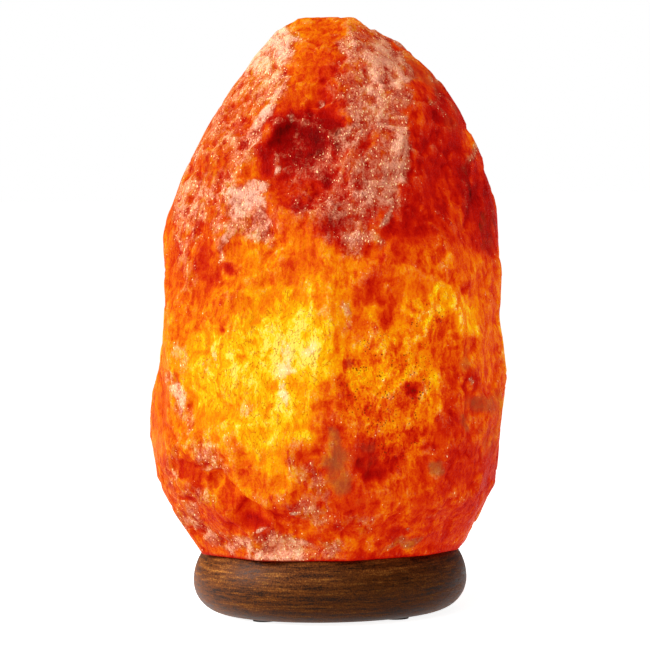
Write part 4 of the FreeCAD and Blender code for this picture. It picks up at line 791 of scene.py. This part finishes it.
    (20, 133, 5, 5, 0, 0.48, 0.6), (-56, 156, 5, 12, 0, 0.54, 0.6), (-18, 29, 12, 5, 0, 0.64, 0.6),
    (-44, 34, 10, 5, -20, 0.52, 0.6), (4, 193, 4, 6, 0, 0.17, 0.6), (-40, 71, 6, 4, 20, 0.66, 0.6),
    (-13, 67, 5, 5, 0, 0.57, 0.6), (4, 205, 4, 5, 0, 0.34, 0.6), (-40, 196, 9, 9, -40, 0.56, 0.6),
    (-46, 78, 5, 4, 30, 0.70, 0.6), (66, 56, 5, 10, 0, 0.34, 0.6), (-46, 55, 4, 5, 20, 0.60, 0.6),
    (50, 184, 8, 10, 0, 0.27, 0.6), (-35, 155, 5, 4, 0, 0.64, 0.6), (40, 60, 4, 8, 0, 0.46, 0.6),
)

# Bleached crust and grainy salt, from 0 for none to 1 for closed. Along the left side
# the dabs also hold painted light: the pale veil that the window light lays there
FROST_DABS = (
    (-19, 230, 9, 8, -38, 0.95, 0.4), (-28, 221, 6, 9, -40, 0.80, 0.5),
    (-20, 213, 5, 10, 0, 0.62, 0.5), (-34, 211, 4, 8, -42, 0.50, 0.5),
    (-37, 200, 12, 14, -45, 0.38, 0.6), (-44, 198, 4, 7, -42, 0.40, 0.4),
    (-51, 186, 2.6, 10, -18, 0.44, 0.4), (-33, 187, 8, 8, 0, 0.40, 0.5),
    (-40, 172, 6, 8, 0, 0.44, 0.6), (-23.5, 199, 2.2, 6, -32, 0.92, 0.3),
    (-20, 200, 1.3, 4, -32, 0.72, 0.3), (-28, 192, 3, 6, -28, 0.66, 0.4),
    (-31, 168, 7, 4.6, 6, 0.98, 0.35), (-25, 172, 5, 1.8, 0, 0.74, 0.4),
    (-35, 161, 4.6, 3.4, 0, 0.78, 0.4), (-28, 161, 4, 2.6, 20, 0.62, 0.4),
    (-23, 159, 1.4, 8, 4, 0.86, 0.3), (-24, 166, 2, 3, 0, 0.8, 0.4),
    (-31, 154, 6, 0.9, -6, 0.82, 0.3), (-37.5, 152, 2.2, 3.6, -15, 0.92, 0.3),
    (-40, 146, 1.6, 5, 0, 0.55, 0.4), (-57, 163, 2.6, 13, -8, 0.40, 0.4),
    (-53, 160, 2.4, 12, 0, 0.36, 0.5), (-58, 147, 3, 10, 0, 0.34, 0.5),
    (-54, 136, 3, 6, 0, 0.36, 0.5), (-43, 160, 1.8, 10, 3, 0.42, 0.5),
    (18, 225, 11, 8, 0, 0.66, 0.6), (28, 224, 5, 4, -20, 0.88, 0.4),
    (24, 230, 5, 2.6, -30, 0.60, 0.4), (18, 232, 5, 3, 0, 0.50, 0.5), (26, 216, 8, 8, 0, 0.72, 0.5),
    (35, 216, 3, 3.6, -30, 0.64, 0.4), (10, 226, 3.6, 5, 10, 0.52, 0.4),
    (13, 212, 7, 8, 0, 0.42, 0.6), (32, 207, 4, 4, 0, 0.52, 0.4), (17, 204, 8, 8, 0, 0.62, 0.5),
    (14, 193, 4, 8, -28, 0.70, 0.4), (8, 188, 3, 6, -20, 0.62, 0.4), (25, 200, 6, 9, 0, 0.62, 0.5),
    (32, 190, 4, 8, 10, 0.70, 0.4), (34, 184, 3.4, 5, 0, 0.80, 0.4), (26, 179, 7, 9, 0, 0.68, 0.5),
    (18, 181, 7, 9, 0, 0.42, 0.6), (19, 172, 9, 7, 0, 0.58, 0.5), (29, 171, 2.4, 8, 0, 0.50, 0.5),
    (8, 172, 6, 9, 0, 0.42, 0.6), (12, 156, 7, 9, 0, 0.54, 0.6), (26, 158, 1.6, 3, -30, 0.74, 0.4),
    (11, 147, 3, 4, 0, 0.56, 0.5), (22, 149, 2.4, 4, 20, 0.44, 0.5), (42, 204, 2, 2, 0, 0.45, 0.4),
    (-8, 188, 12, 9, 0, 0.22, 0.6), (2, 186, 4, 6, 0, 0.16, 0.6), (-8, 178, 12, 7, 0, 0.28, 0.6),
    (-18, 178, 1.3, 1.7, 0, 1.0, 0.3), (-2, 184, 3, 2.6, 0, 0.46, 0.4),
    (-11.5, 198, 1, 1.8, 20, 0.74, 0.3), (0, 206, 0.9, 2, 20, 0.7, 0.3),
    (-6, 165, 9, 7, 0, 0.28, 0.6), (2, 158, 7, 5, 0, 0.30, 0.6), (3, 175, 6, 6, 0, 0.34, 0.6),
    (8, 123, 2.4, 4.4, 10, 0.74, 0.6), (7, 117, 1.6, 3, 10, 0.4, 0.5),
    (-16, 109, 2.2, 5, 10, 0.52, 0.5), (-7, 109, 2.4, 3, 0, 0.50, 0.5),
    (-14, 100, 3, 2.6, 0, 0.44, 0.5), (-17, 91, 1.3, 4, 10, 0.82, 0.4),
    (-59, 91, 2, 7, 3, 0.80, 0.35), (-62, 97, 2, 4, 0, 0.4, 0.5), (-33, 86, 5, 2.2, 12, 0.30, 0.5),
    (-44, 104, 3, 3, 0, 0.30, 0.5), (-57, 106, 4, 6, 0, 0.34, 0.5), (-55, 82, 2, 6, 0, 0.34, 0.5),
    (-48, 66, 4, 6, 15, 0.56, 0.4), (-45, 62, 5, 1.6, 0, 0.50, 0.4),
    (-55, 45, 3, 9, -22, 0.46, 0.5), (-52, 38, 7, 3, -25, 0.52, 0.5),
    (-61, 62, 2.4, 10, -8, 0.34, 0.5), (-46, 34, 6, 3, -20, 0.5, 0.5),
    (-36, 32, 6, 3, 10, 0.56, 0.5), (-28, 38.5, 1.5, 0.8, 0, 1.0, 0.2),
    (-18, 29, 12, 4, 0, 0.84, 0.5), (-24, 34, 6, 4, 0, 0.50, 0.5), (-8, 31, 5, 3, 0, 0.44, 0.5),
    (-8, 47, 6, 7, 0, 0.38, 0.6), (-13.5, 44, 1.4, 0.7, -15, 1.0, 0.2),
    (-9, 61, 3, 6, 20, 0.38, 0.5), (-3, 57, 3, 7, 15, 0.40, 0.5), (-14, 66, 2, 5, 0, 0.34, 0.5),
    (1, 31, 5, 2.4, 0, 0.56, 0.5), (28, 31, 8, 1.8, 8, 0.34, 0.5), (10, 40, 6, 5, 0, 0.22, 0.6),
    (30, 37, 0.7, 0.6, 0, 0.9, 0.3), (57, 94, 1, 0.8, 0, 0.8, 0.3),
    (61, 186, 1.8, 8, -22, 0.62, 0.35), (46, 213, 3, 2, -45, 0.34, 0.4),
    (22, 233, 3, 3, -30, 0.5, 0.5), (-50, 168, 5, 11, -8, 0.50, 0.6),
    (-30, 155, 9, 4, 0, 0.50, 0.6), (-16, 30, 9, 4, 0, 0.86, 0.6), (30, 177, 5, 6, 0, 0.64, 0.6),
    (22, 168, 8, 7, 0, 0.66, 0.6), (8, 161, 6, 5, 0, 0.56, 0.6), (24, 215, 7, 7, 0, 0.80, 0.6),
    (-25, 211, 6, 6, 0, 0.48, 0.6), (-47, 67, 5, 8, 25, 0.50, 0.6), (-25, 156, 5, 5, 0, 0.74, 0.6),
    (-34, 156, 5, 4, 0, 0.66, 0.6), (-52, 52, 6, 5, 0, 0.34, 0.6), (3, 170, 4, 5, 0, 0.50, 0.6),
    (67, 162, 5, 18, 0, 0.0, 0.6), (52, 186, 7, 10, 0, 0.0, 0.6), (66, 52, 5, 14, 0, 0.06, 0.6),
    (-5, 27, 5, 4, 0, 0.20, 0.6), (-22, 27, 9, 5, 0, 0.96, 0.6), (50, 208, 3, 6, -45, 0.20, 0.6),
    (30, 178, 4, 6, 0, 0.78, 0.6), (-16, 102, 4, 5, -30, 0.56, 0.6),
    (-38, 194, 10, 8, -40, 0.38, 0.6), (-38, 72, 6, 4, 20, 0.10, 0.6),
)

# Grey-brown clay
MURK_DABS = (
    (3, 66, 5, 8, 0, 0.80, 0.5), (2, 76, 2.6, 4, 0, 0.62, 0.5), (5, 57, 5, 4, 0, 0.55, 0.5),
    (43, 62, 2.6, 3.6, 0, 0.62, 0.5), (62, 85, 7, 5, -20, 0.58, 0.5),
    (54, 78, 2.4, 4, 0, 0.50, 0.5), (67, 154, 3, 13, 0, 0.30, 0.4), (57, 158, 2, 9, 5, 0.30, 0.5),
    (41, 217, 14, 6, -45, 0.48, 0.5), (54, 200, 4, 10, -20, 0.40, 0.5),
    (60, 183, 3, 7, -20, 0.30, 0.5), (7, 103, 2.4, 3, 10, 0.36, 0.5), (55, 101, 3, 5, 0, 0.44, 0.5),
    (15, 66, 9, 6, 0, 0.32, 0.6), (-46, 181, 3, 6, -10, 0.36, 0.5), (-30, 36, 4, 2, 0, 0.34, 0.5),
    (64, 70, 4, 8, 0, 0.42, 0.5), (28, 31, 8, 2.4, 8, 0.52, 0.5), (33, 205, 4, 5, 0, 0.30, 0.5),
    (5, 191, 2.6, 6, -10, 0.34, 0.5), (68, 80, 3, 10, 0, 0.40, 0.5), (12, 50, 3, 3, 0, 0.3, 0.5),
)

# Dark grains of earth
FLECK_DABS = (
    (25, 96, 20, 20, 0, 0.85, 0.5), (-25, 108, 24, 20, 0, 0.30, 0.6),
    (48, 116, 16, 14, 0, 0.42, 0.6), (26, 75, 12, 12, 0, 0.80, 0.5), (34, 90, 5, 6, 0, 1.0, 0.5),
    (8, 98, 5, 7, 0, 0.95, 0.5), (40, 120, 6, 8, 0, 0.9, 0.5), (-40, 122, 10, 8, 0, 0.35, 0.6),
)

FIELDS = {"clearness": CLEAR_DABS, "frost": FROST_DABS, "murk": MURK_DABS, "fleck": FLECK_DABS}


def wander(points, size, seed):
    """Smooth noise, about -1 to 1, at each point, with lumps about size across."""
    offset = Vector((seed * 17.3, seed * -9.1, seed * 5.7))
    return np.array([noise.noise(Vector(point) / size + offset) for point in points])


def broken(points, size, tilt, seed):
    """Heights of a surface broken into small faces about size across, each tilted its own way."""
    places = points / size + np.array((3.7, 8.3, -6.1)) * seed
    found = [noise.voronoi(Vector(place)) for place in places]
    distances = np.array([near[0] for near in found])
    middles = np.array([[tuple(middle) for middle in near[1]] for near in found])
    lean = (middles - np.floor(middles) - 0.5) * tilt
    heights = ((places[:, None] - middles) * lean).sum(axis=2) + distances - distances[:, :1]
    return heights.min(axis=1) * size


def fade(distance, softness):
    """1 inside, 0 outside, with an edge as wide as softness round a distance of 1."""
    share = np.clip((1 + softness - distance) / (2 * softness), 0, 1)
    return share * share * (3 - 2 * share)


class Skin:
    """The stone's points in millimetres, and the cuts that shape them."""
    SEARCH = 4.0          # a place on the front lies this near to a point of the skin
    NEARNESS = 0.2        # how much more a point counts that stands further forward
    FLAT_ROUNDING = 0.25  # how softly a flat meets the skin round it
    FLAT_DEEPEST = 2.2    # the most that a flat cuts, as a multiple of its depth
    FLAT_EDGE = 0.4       # soft share of a flat's reach

    def __init__(self, mesh):
        self.mesh = mesh
        count = len(mesh.vertices)
        flat = np.empty(count * 3)
        mesh.vertices.foreach_get("co", flat)
        self.points = flat.reshape(-1, 3) / MM
        self.start = self.points.copy()
        mesh.vertices.foreach_get("normal", flat)
        self.normals = flat.reshape(-1, 3).copy()
        links = np.empty(len(mesh.edges) * 2, dtype=np.int64)
        mesh.edges.foreach_get("vertices", links)
        self.links = links.reshape(-1, 2)
        radius = np.hypot(self.points[:, 0], self.points[:, 1])
        bored = (radius < BORE_REACH) & (self.points[:, 2] < BORE_TOP)
        self.free = np.where(bored, 0.0, np.clip((self.points[:, 2] - UNDERSIDE - LIP) / LIP, 0, 1))
        self.front = self.points[:, 1] < 0

    def at(self, across, height):
        """The point of the front skin seen at a place."""
        gap = np.hypot(self.start[:, 0] - across, self.start[:, 2] - height)
        near = (gap < self.SEARCH) & self.front & (self.free > 0)
        if not near.any():
            raise RuntimeError(f"nothing of the stone's front is at {across}, {height}")
        rows = np.flatnonzero(near)
        return self.points[rows[np.argmin(gap[rows] + self.NEARNESS * self.start[rows, 1])]]

    def push(self, depth, direction):
        """Moves the skin inwards by a depth at each point."""
        self.points -= (depth * self.free)[:, None] * direction

    def flat(self, centre, normal, depth, reach):
        """Knocks the skin back to a plane, out to a reach."""
        above = (self.points - centre) @ normal + depth
        span = np.linalg.norm(self.points - centre, axis=1) / reach
        cut = np.where(above > 0, above * above / (above + self.FLAT_ROUNDING), 0)
        deepest = depth * self.FLAT_DEEPEST
        self.push(np.minimum(cut, deepest) * fade(span, self.FLAT_EDGE), normal)

    def scoop(self, start, end, radius, depth):
        """Takes out a ball, or a groove if start and end differ, that dips by a depth."""
        middle = (start + end) / 2
        outward = middle / np.linalg.norm(middle * (1, 1, 0)) * (1, 1, 0)
        lift = outward * (radius - depth)
        run = end - start
        length = max(run @ run, 1e-9)
        share = np.clip(((self.points - start - lift) @ run) / length, 0, 1)
        axis = start + lift + share[:, None] * run
        away = self.points - axis
        distance = np.linalg.norm(away, axis=1)
        self.push(-np.clip(radius - distance, 0, depth), away / np.maximum(distance, 1e-6)[:, None])

    def smoothed(self, values, rounds):
        """Values averaged with their neighbours' a number of times."""
        first, second = self.links.T
        count = len(values)
        shares = np.bincount(self.links.ravel(), minlength=count)
        columns = values.reshape(count, -1).T
        for _ in range(rounds):
            columns = [(column + (np.bincount(first, column[second], count)
                                  + np.bincount(second, column[first], count)) / shares) / 2
                       for column in columns]
        return np.column_stack(columns).reshape(values.shape)

    def facings(self):
        """The way that each point of the carved skin faces."""
        flat = np.empty(len(self.points) * 3)
        self.mesh.vertices.foreach_get("normal", flat)
        return flat.reshape(-1, 3)

    def soften(self, rounds):
        """Wears the skin's edges down a little, never outwards."""
        worn = self.smoothed(self.points, rounds) - self.points
        lift = np.einsum("ij,ij->i", worn, self.normals)
        self.push(np.clip(-lift, 0, None), self.normals)

    def write(self):
        """Puts the points back into the mesh."""
        self.mesh.vertices.foreach_set("co", (self.points * MM).ravel())
        self.mesh.update()


def facing(yaw, pitch):
    """A direction from the front: yaw to the right and pitch upwards, in degrees."""
    across, up = math.radians(yaw), math.radians(pitch)
    return np.array((math.sin(across) * math.cos(up), -math.cos(across) * math.cos(up),
                     math.sin(up)))


def rough_lump(fineness):
    """The stone's plain shape with an even net of points all over it."""
    shape = merged_copy("salt_crystal")
    mesh = bpy.data.meshes.new("lump")
    shape.to_mesh(mesh)
    shape.free()
    holder = bpy.data.objects.new("lump", mesh)
    bpy.context.scene.collection.objects.link(holder)
    remesh = holder.modifiers.new("Even net", "REMESH")
    remesh.mode = "VOXEL"
    remesh.voxel_size = fineness
    evaluated = holder.evaluated_get(bpy.context.evaluated_depsgraph_get())
    even = bpy.data.meshes.new_from_object(evaluated)
    bpy.data.objects.remove(holder)
    bpy.data.meshes.remove(mesh)
    return even


def carve(skin, stone, grainy):
    """Cuts flats, scoops, grooves and chips, then breaks up the rest, most where it is grainy."""
    skin.soften(rounds=3)
    for across, height, yaw, pitch, depth, reach in FRONT_FLATS:
        skin.flat(skin.at(across, height), facing(yaw, pitch), FLAT_SHARE * depth, reach)
    for across, height, radius, depth in FRONT_SCOOPS:
        place = skin.at(across, height)
        skin.scoop(place, place, radius, depth)
    for across, height, to_across, to_height, radius, depth in FRONT_GROOVES:
        skin.scoop(skin.at(across, height), skin.at(to_across, to_height), radius, depth)
    chance = np.random.default_rng(stone.seed)
    loose = np.flatnonzero(skin.free >= 1)
    for row in chance.choice(loose, stone.chip_count, replace=False):
        lean = skin.normals[row] + chance.normal(0, CHIP_LEAN, 3)
        depth = stone.chip_depth / MM * chance.uniform(0.2, 1) ** 1.5
        skin.flat(skin.points[row], lean / np.linalg.norm(lean), depth, CHIP_REACH)
    faces = (broken(skin.start, size=10.0, tilt=0.36, seed=1)
             + broken(skin.start, size=4.2, tilt=0.40, seed=2))
    waves = (0.25 * wander(skin.start, size=7.0, seed=1)
             + 0.20 * wander(skin.start, size=2.8, seed=2))
    depth = (0.7 + 1.0 * grainy) * (waves - faces - 0.45)
    skin.push(np.clip(depth, 0, DEEPEST_BREAK), skin.normals)


def paint(skin):
    """Works out the four fields at each point of the skin."""
    def waves(size, seed):
        return wander(skin.start, size, seed)

    across, depth, height = skin.start.T
    warp_across = 2.4 * waves(9.0, 3) + 1.4 * waves(3.6, 4)
    warp_height = 3.0 * waves(9.0, 5) + 1.6 * waves(3.6, 6)
    ragged = 0.55 * waves(5.0, 14) + 0.35 * waves(2.4, 15)
    front = np.clip((FRONT_END - depth) / FRONT_FADE, 0, 1)
    band = np.exp(-((height - BULB_HEIGHT) / GLOW_REACH) ** 2)
    drift = waves(26.0, 7)
    blotch = waves(11.0, 8)
    turn_round = np.column_stack((across, depth, height * 0.35))
    streak = wander(turn_round, 9.0, 9)
    fields = {
        "clearness": 0.46 + 0.30 * band + 0.18 * drift + 0.08 * blotch + 0.04 * streak,
        "frost": 0.14 + 0.40 * waves(24.0, 10) + 0.20 * streak - 0.12 * band
                 + 0.22 * np.clip((height - 140) / 80, 0, 1),
        "murk": 0.02 + 0.36 * waves(30.0, 12) + 0.10 * blotch - 0.3 * band,
        "fleck": 0.25 + 0.5 * waves(18.0, 13),
    }
    plain_front = {
        "clearness": 0.50 + 0.24 * band + 0.04 * blotch,
        "frost": 0.04 + 0.05 * blotch,
        "murk": 0.02 + 0.05 * blotch,
        "fleck": 0.12 + 0.1 * blotch,
    }
    for name, dabs in FIELDS.items():
        ahead = plain_front[name]
        for x, z, half_width, half_height, tilt, value, softness in dabs:
            angle = math.radians(tilt)
            right = across + warp_across - x
            up = height + warp_height - z
            along = (right * math.cos(angle) + up * math.sin(angle)) / half_width
            beside = (up * math.cos(angle) - right * math.sin(angle)) / half_height
            weight = fade(np.hypot(along, beside) + ragged * softness, softness)
            ahead = ahead + (value - ahead) * weight
        fields[name] = fields[name] * (1 - front) + ahead * front
    return fields


def weather(skin, fields):
    """Paints light on edges and faces turned to the room's light, shade in hollows and at the foot.
    """
    relief = np.einsum("ij,ij->i", skin.points - skin.smoothed(skin.points, rounds=14),
                       skin.normals)
    ridge = np.clip(relief / EDGE_RELIEF, -1, 1)
    # Painted contact shadow: a band along the stone's foot is painted darker and less crusted
    shade = np.clip((UNDERSIDE + FOOT_SHADE - skin.start[:, 2]) / FOOT_SHADE, 0, 1)
    # Painted light and shade: edges are painted paler and clearer, hollows darker and less crusted
    edge_light_hollow_shade = 0.16 * np.clip(ridge, 0, 1) - 0.10 * np.clip(-ridge, 0, 1)
    fields["frost"] = (fields["frost"] + edge_light_hollow_shade) * (1 - 0.5 * shade)
    fields["clearness"] = fields["clearness"] + 0.06 * ridge - 0.28 * shade
    # Painted light: a small face that leans more to the room's light than the skin round it is
    # painted paler and clearer
    lit = skin.facings() @ ROOM_SIDE
    lean = skin.smoothed(lit, rounds=2) - skin.smoothed(lit, rounds=60)
    fields["frost"] = fields["frost"] + 0.50 * lean * np.clip(fields["frost"] * 4, 0, 1)
    fields["clearness"] = fields["clearness"] + 0.32 * lean


class LAMP_OT_stone(bpy.types.Operator):
    """Carves and paints the rock salt"""
    bl_idname = "lamp.stone"
    bl_label = "Carve the Stone"

    def execute(self, context):
        stone = context.scene.lamp_stone
        mesh = rough_lump(stone.fineness)
        skin = Skin(mesh)
        fields = paint(skin)
        carve(skin, stone, np.clip(fields["frost"], 0, 1))
        skin.write()
        weather(skin, fields)
        for name, values in fields.items():
            layer = mesh.attributes.new(name, "FLOAT", "POINT")
            layer.data.foreach_set("value", np.clip(values, 0, 1).astype(np.float32))
        mesh.polygons.foreach_set("use_smooth", [True] * len(mesh.polygons))
        piece = new_piece("rock_salt_stone", mesh, "base", "rock_salt", "salt_crystal")
        give(piece, rock_salt(stone))
        return {"FINISHED"}


class LAMP_OT_foot(bpy.types.Operator):
    """Dresses the turned foot with its pads, screws and plugs"""
    bl_idname = "lamp.foot"
    bl_label = "Dress the Foot"

    def execute(self, context):
        foot = context.scene.lamp_foot
        mesh = eased("wood_base", 0.4 * MM)
        wood = new_piece("turned_foot", mesh, "base", "walnut", "wood_base")
        give(wood, turned_walnut(foot))
        dress(wool_felt(foot.felt), "felt_pads")
        dress(metal("zinc_screws", foot.zinc, 0.32), "base_screws")
        dress(moulded("nylon", foot.nylon, 0.5), "screw_plugs")
        return {"FINISHED"}


class LAMP_OT_holder(bpy.types.Operator):
    """Dresses the plate, clips and tube that carry the lampholder"""
    bl_idname = "lamp.holder"
    bl_label = "Dress the Holder"

    def execute(self, context):
        foot, holder = context.scene.lamp_foot, context.scene.lamp_holder
        dress(metal("zinc_steel", foot.zinc, 0.34, brushed=(1, 0.12, 1)),
              "holder_plate", "screwed_tube", "lock_washer", "tube_nut", "clip_rivets")
        dress(metal("spring_steel", holder.spring, 0.26, brushed=(1, 1, 0.1)),
              "clip_feet", "clip_leaf_1", "clip_leaf_2", "clip_leaf_3")
        dress(moulded("holder_plastic", holder.plastic, 0.38),
              "lampholder_cap", "lampholder_sleeve")
        dress(metal("brass", holder.brass, 0.28, wear=0.16),
              "shell_contact", "centre_contact", "terminal_screws", "screw_shell")
        dress(moulded("bush_rubber", holder.rubber, 0.6, mottling=0.2), "cord_bush")
        dress(moulded("ceramic", holder.ceramic, 0.22, mottling=0.04), "contact_block")
        return {"FINISHED"}


class LAMP_OT_bulb(bpy.types.Operator):
    """Dresses the small bulb"""
    bl_idname = "lamp.bulb"
    bl_label = "Dress the Bulb"

    def execute(self, context):
        bulb = context.scene.lamp_bulb
        dress(metal("solder", bulb.solder, 0.42, wear=0.18), "bulb_contact")
        dress(moulded("black_glass", bulb.insulator, 0.2), "bulb_insulator")
        dress(metal("nickel", bulb.nickel, 0.24, brushed=(1, 1, 6)), "bulb_cap")
        for name in ("bulb_glass", "bulb_stem"):
            dress(blown_glass(bulb.glass), name)
        dress(metal("wire", bulb.wire, 0.35), "bulb_leads", "filament_supports")
        dress(lit_coil(bulb.filament, bulb.filament_power), "bulb_filament")
        return {"FINISHED"}


# ---------------------------------------------------------------------------------------------
# Camera, lights and floor

LIGHTS_AIM = Vector((0, 0, 0.12))
# Place, width and tint of each soft light
WINDOW_LIGHT = ((-1.10, -0.27, 0.55), 0.5, (1.0, 0.985, 0.96))
FRONT_LIGHT = ((-0.3, -1.2, 0.8), 0.8, (1.0, 0.99, 0.98))
SKY_TINT = (1.0, 0.985, 0.965)
WHITE = (1.0, 1.0, 1.0)
FLOOR_LIGHT = 0.90    # the floor's own light, which lifts it to white where nothing shades it


def set_camera(stage):
    """Looks at the lamp from the front, a little above its middle."""
    camera = bpy.data.cameras.new("camera")
    camera.sensor_fit = "HORIZONTAL"
    camera.sensor_width = 36.0
    camera.lens = stage.lens
    camera.shift_x = stage.camera_shift
    camera.clip_start = 0.05
    camera.clip_end = 60.0
    camera.dof.use_dof = False
    eye = bpy.data.objects.new("camera", camera)
    tilt = Matrix.Rotation(math.pi / 2 - stage.camera_pitch, 4, "X")
    place = Matrix.Translation((0, -stage.camera_distance, stage.camera_height))
    eye.matrix_world = place @ tilt @ Matrix.Rotation(stage.camera_roll, 4, "Z")
    bpy.context.scene.collection.objects.link(eye)
    bpy.context.scene.camera = eye


def soft_light(name, power, place, size, colour):
    """A square soft light that looks at the middle of the lamp."""
    lamp = bpy.data.lights.new(name, "AREA")
    lamp.shape = "SQUARE"
    lamp.size = size
    lamp.energy = power
    lamp.color = colour
    holder = bpy.data.objects.new(name, lamp)
    towards = LIGHTS_AIM - Vector(place)
    holder.matrix_world = (Matrix.Translation(place)
                           @ towards.to_track_quat("-Z", "Y").to_matrix().to_4x4())
    bpy.context.scene.collection.objects.link(holder)


def seen_rays(nodes, links):
    """1 for rays that look at the background: from the camera, off gloss or through glass."""
    path = nodes.new("ShaderNodeLightPath")
    total = path.outputs["Is Camera Ray"]
    for name in ("Is Glossy Ray", "Is Transmission Ray"):
        node = nodes.new("ShaderNodeMath")
        node.operation = "MAXIMUM"
        links.new(total, node.inputs[0])
        links.new(path.outputs[name], node.inputs[1])
        total = node.outputs[0]
    return total


def plain(nodes, kind, colour, strength=None):
    """A shader of one colour and, where it has one, one strength."""
    node = nodes.new(kind)
    node.inputs["Color"].default_value = (*colour, 1)
    if strength is not None:
        node.inputs["Strength"].default_value = strength
    return node.outputs[0]


def combined(nodes, links, kind, *sources):
    """Joins sources to a node that mixes or adds shaders."""
    node = nodes.new(kind)
    for source, socket in zip(sources, node.inputs):
        links.new(source, socket)
    return node.outputs[0]


def set_sky(stage):
    """Even light all round, and plain white where the camera sees past the floor."""
    world = bpy.data.worlds.new("sky")
    world.use_nodes = True
    nodes, links = world.node_tree.nodes, world.node_tree.links
    nodes.clear()
    camera_ray = nodes.new("ShaderNodeLightPath").outputs["Is Camera Ray"]
    seen = combined(nodes, links, "ShaderNodeMixShader", camera_ray,
                    plain(nodes, "ShaderNodeBackground", SKY_TINT, stage.sky),
                    plain(nodes, "ShaderNodeBackground", WHITE, 1.0))
    links.new(seen, nodes.new("ShaderNodeOutputWorld").inputs["Surface"])
    bpy.context.scene.world = world


def floor_finish(stage):
    """Pale floor that reads as white where nothing shades it, and is clear from below."""
    material = bpy.data.materials.new("floor")
    material.use_nodes = True
    nodes, links = material.node_tree.nodes, material.node_tree.links
    nodes.clear()
    white = combined(nodes, links, "ShaderNodeAddShader",
                     plain(nodes, "ShaderNodeBsdfDiffuse", stage.floor),
                     plain(nodes, "ShaderNodeEmission", WHITE, FLOOR_LIGHT))
    above = combined(nodes, links, "ShaderNodeMixShader", seen_rays(nodes, links),
                     plain(nodes, "ShaderNodeBsdfDiffuse", stage.floor_bounce), white)
    below = plain(nodes, "ShaderNodeBsdfTransparent", WHITE)
    side = nodes.new("ShaderNodeNewGeometry").outputs["Backfacing"]
    surface = combined(nodes, links, "ShaderNodeMixShader", side, above, below)
    links.new(surface, nodes.new("ShaderNodeOutputMaterial").inputs["Surface"])
    return material


class LAMP_OT_stage(bpy.types.Operator):
    """Sets the camera, the soft lights and the pale floor"""
    bl_idname = "lamp.stage"
    bl_label = "Set the Stage"

    def execute(self, context):
        stage = context.scene.lamp_stage
        context.scene.view_settings.view_transform = "Standard"
        set_camera(stage)
        soft_light("window", stage.key_power, *WINDOW_LIGHT)
        soft_light("front", stage.fill_power, *FRONT_LIGHT)
        set_sky(stage)
        shape = bmesh.new()
        bmesh.ops.create_grid(shape, x_segments=1, y_segments=1, size=stage.floor_reach)
        mesh = bpy.data.meshes.new("floor")
        shape.to_mesh(mesh)
        shape.free()
        floor = bpy.data.objects.new("floor", mesh)
        context.scene.collection.objects.link(floor)
        mesh.materials.append(floor_finish(stage))
        return {"FINISHED"}


# ---------------------------------------------------------------------------------------------
# Panel, registration and main


class LAMP_PT_panel(bpy.types.Panel):
    """Lists the lamp's steps and sizes"""
    bl_idname = "LAMP_PT_panel"
    bl_label = "Salt Crystal Lamp"
    bl_space_type = "VIEW_3D"
    bl_region_type = "UI"
    bl_category = "Lamp"

    def draw(self, context):
        for operator in OPERATORS:
            self.layout.operator(operator.bl_idname)
        for name, group in SETTINGS.items():
            settings = getattr(context.scene, name)
            box = self.layout.box()
            box.label(text=group.__doc__)
            for prop in group.__annotations__:
                box.prop(settings, prop)


SETTINGS = {
    "lamp_stage": StageSettings,
    "lamp_stone": StoneSettings,
    "lamp_foot": FootSettings,
    "lamp_holder": HolderSettings,
    "lamp_bulb": BulbSettings,
}
OPERATORS = (LAMP_OT_stage, LAMP_OT_stone, LAMP_OT_foot, LAMP_OT_holder, LAMP_OT_bulb)


def register():
    for group in SETTINGS.values():
        bpy.utils.register_class(group)
    for name, group in SETTINGS.items():
        setattr(bpy.types.Scene, name, PointerProperty(type=group))
    for operator in OPERATORS:
        bpy.utils.register_class(operator)
    bpy.utils.register_class(LAMP_PT_panel)


def unregister():
    bpy.utils.unregister_class(LAMP_PT_panel)
    for operator in reversed(OPERATORS):
        bpy.utils.unregister_class(operator)
    for name, group in SETTINGS.items():
        delattr(bpy.types.Scene, name)
        bpy.utils.unregister_class(group)


def main():
    register()
    bpy.ops.lamp.stage()
    bpy.ops.lamp.stone()
    bpy.ops.lamp.foot()
    bpy.ops.lamp.holder()
    bpy.ops.lamp.bulb()


if __name__ == "__main__":
    main()
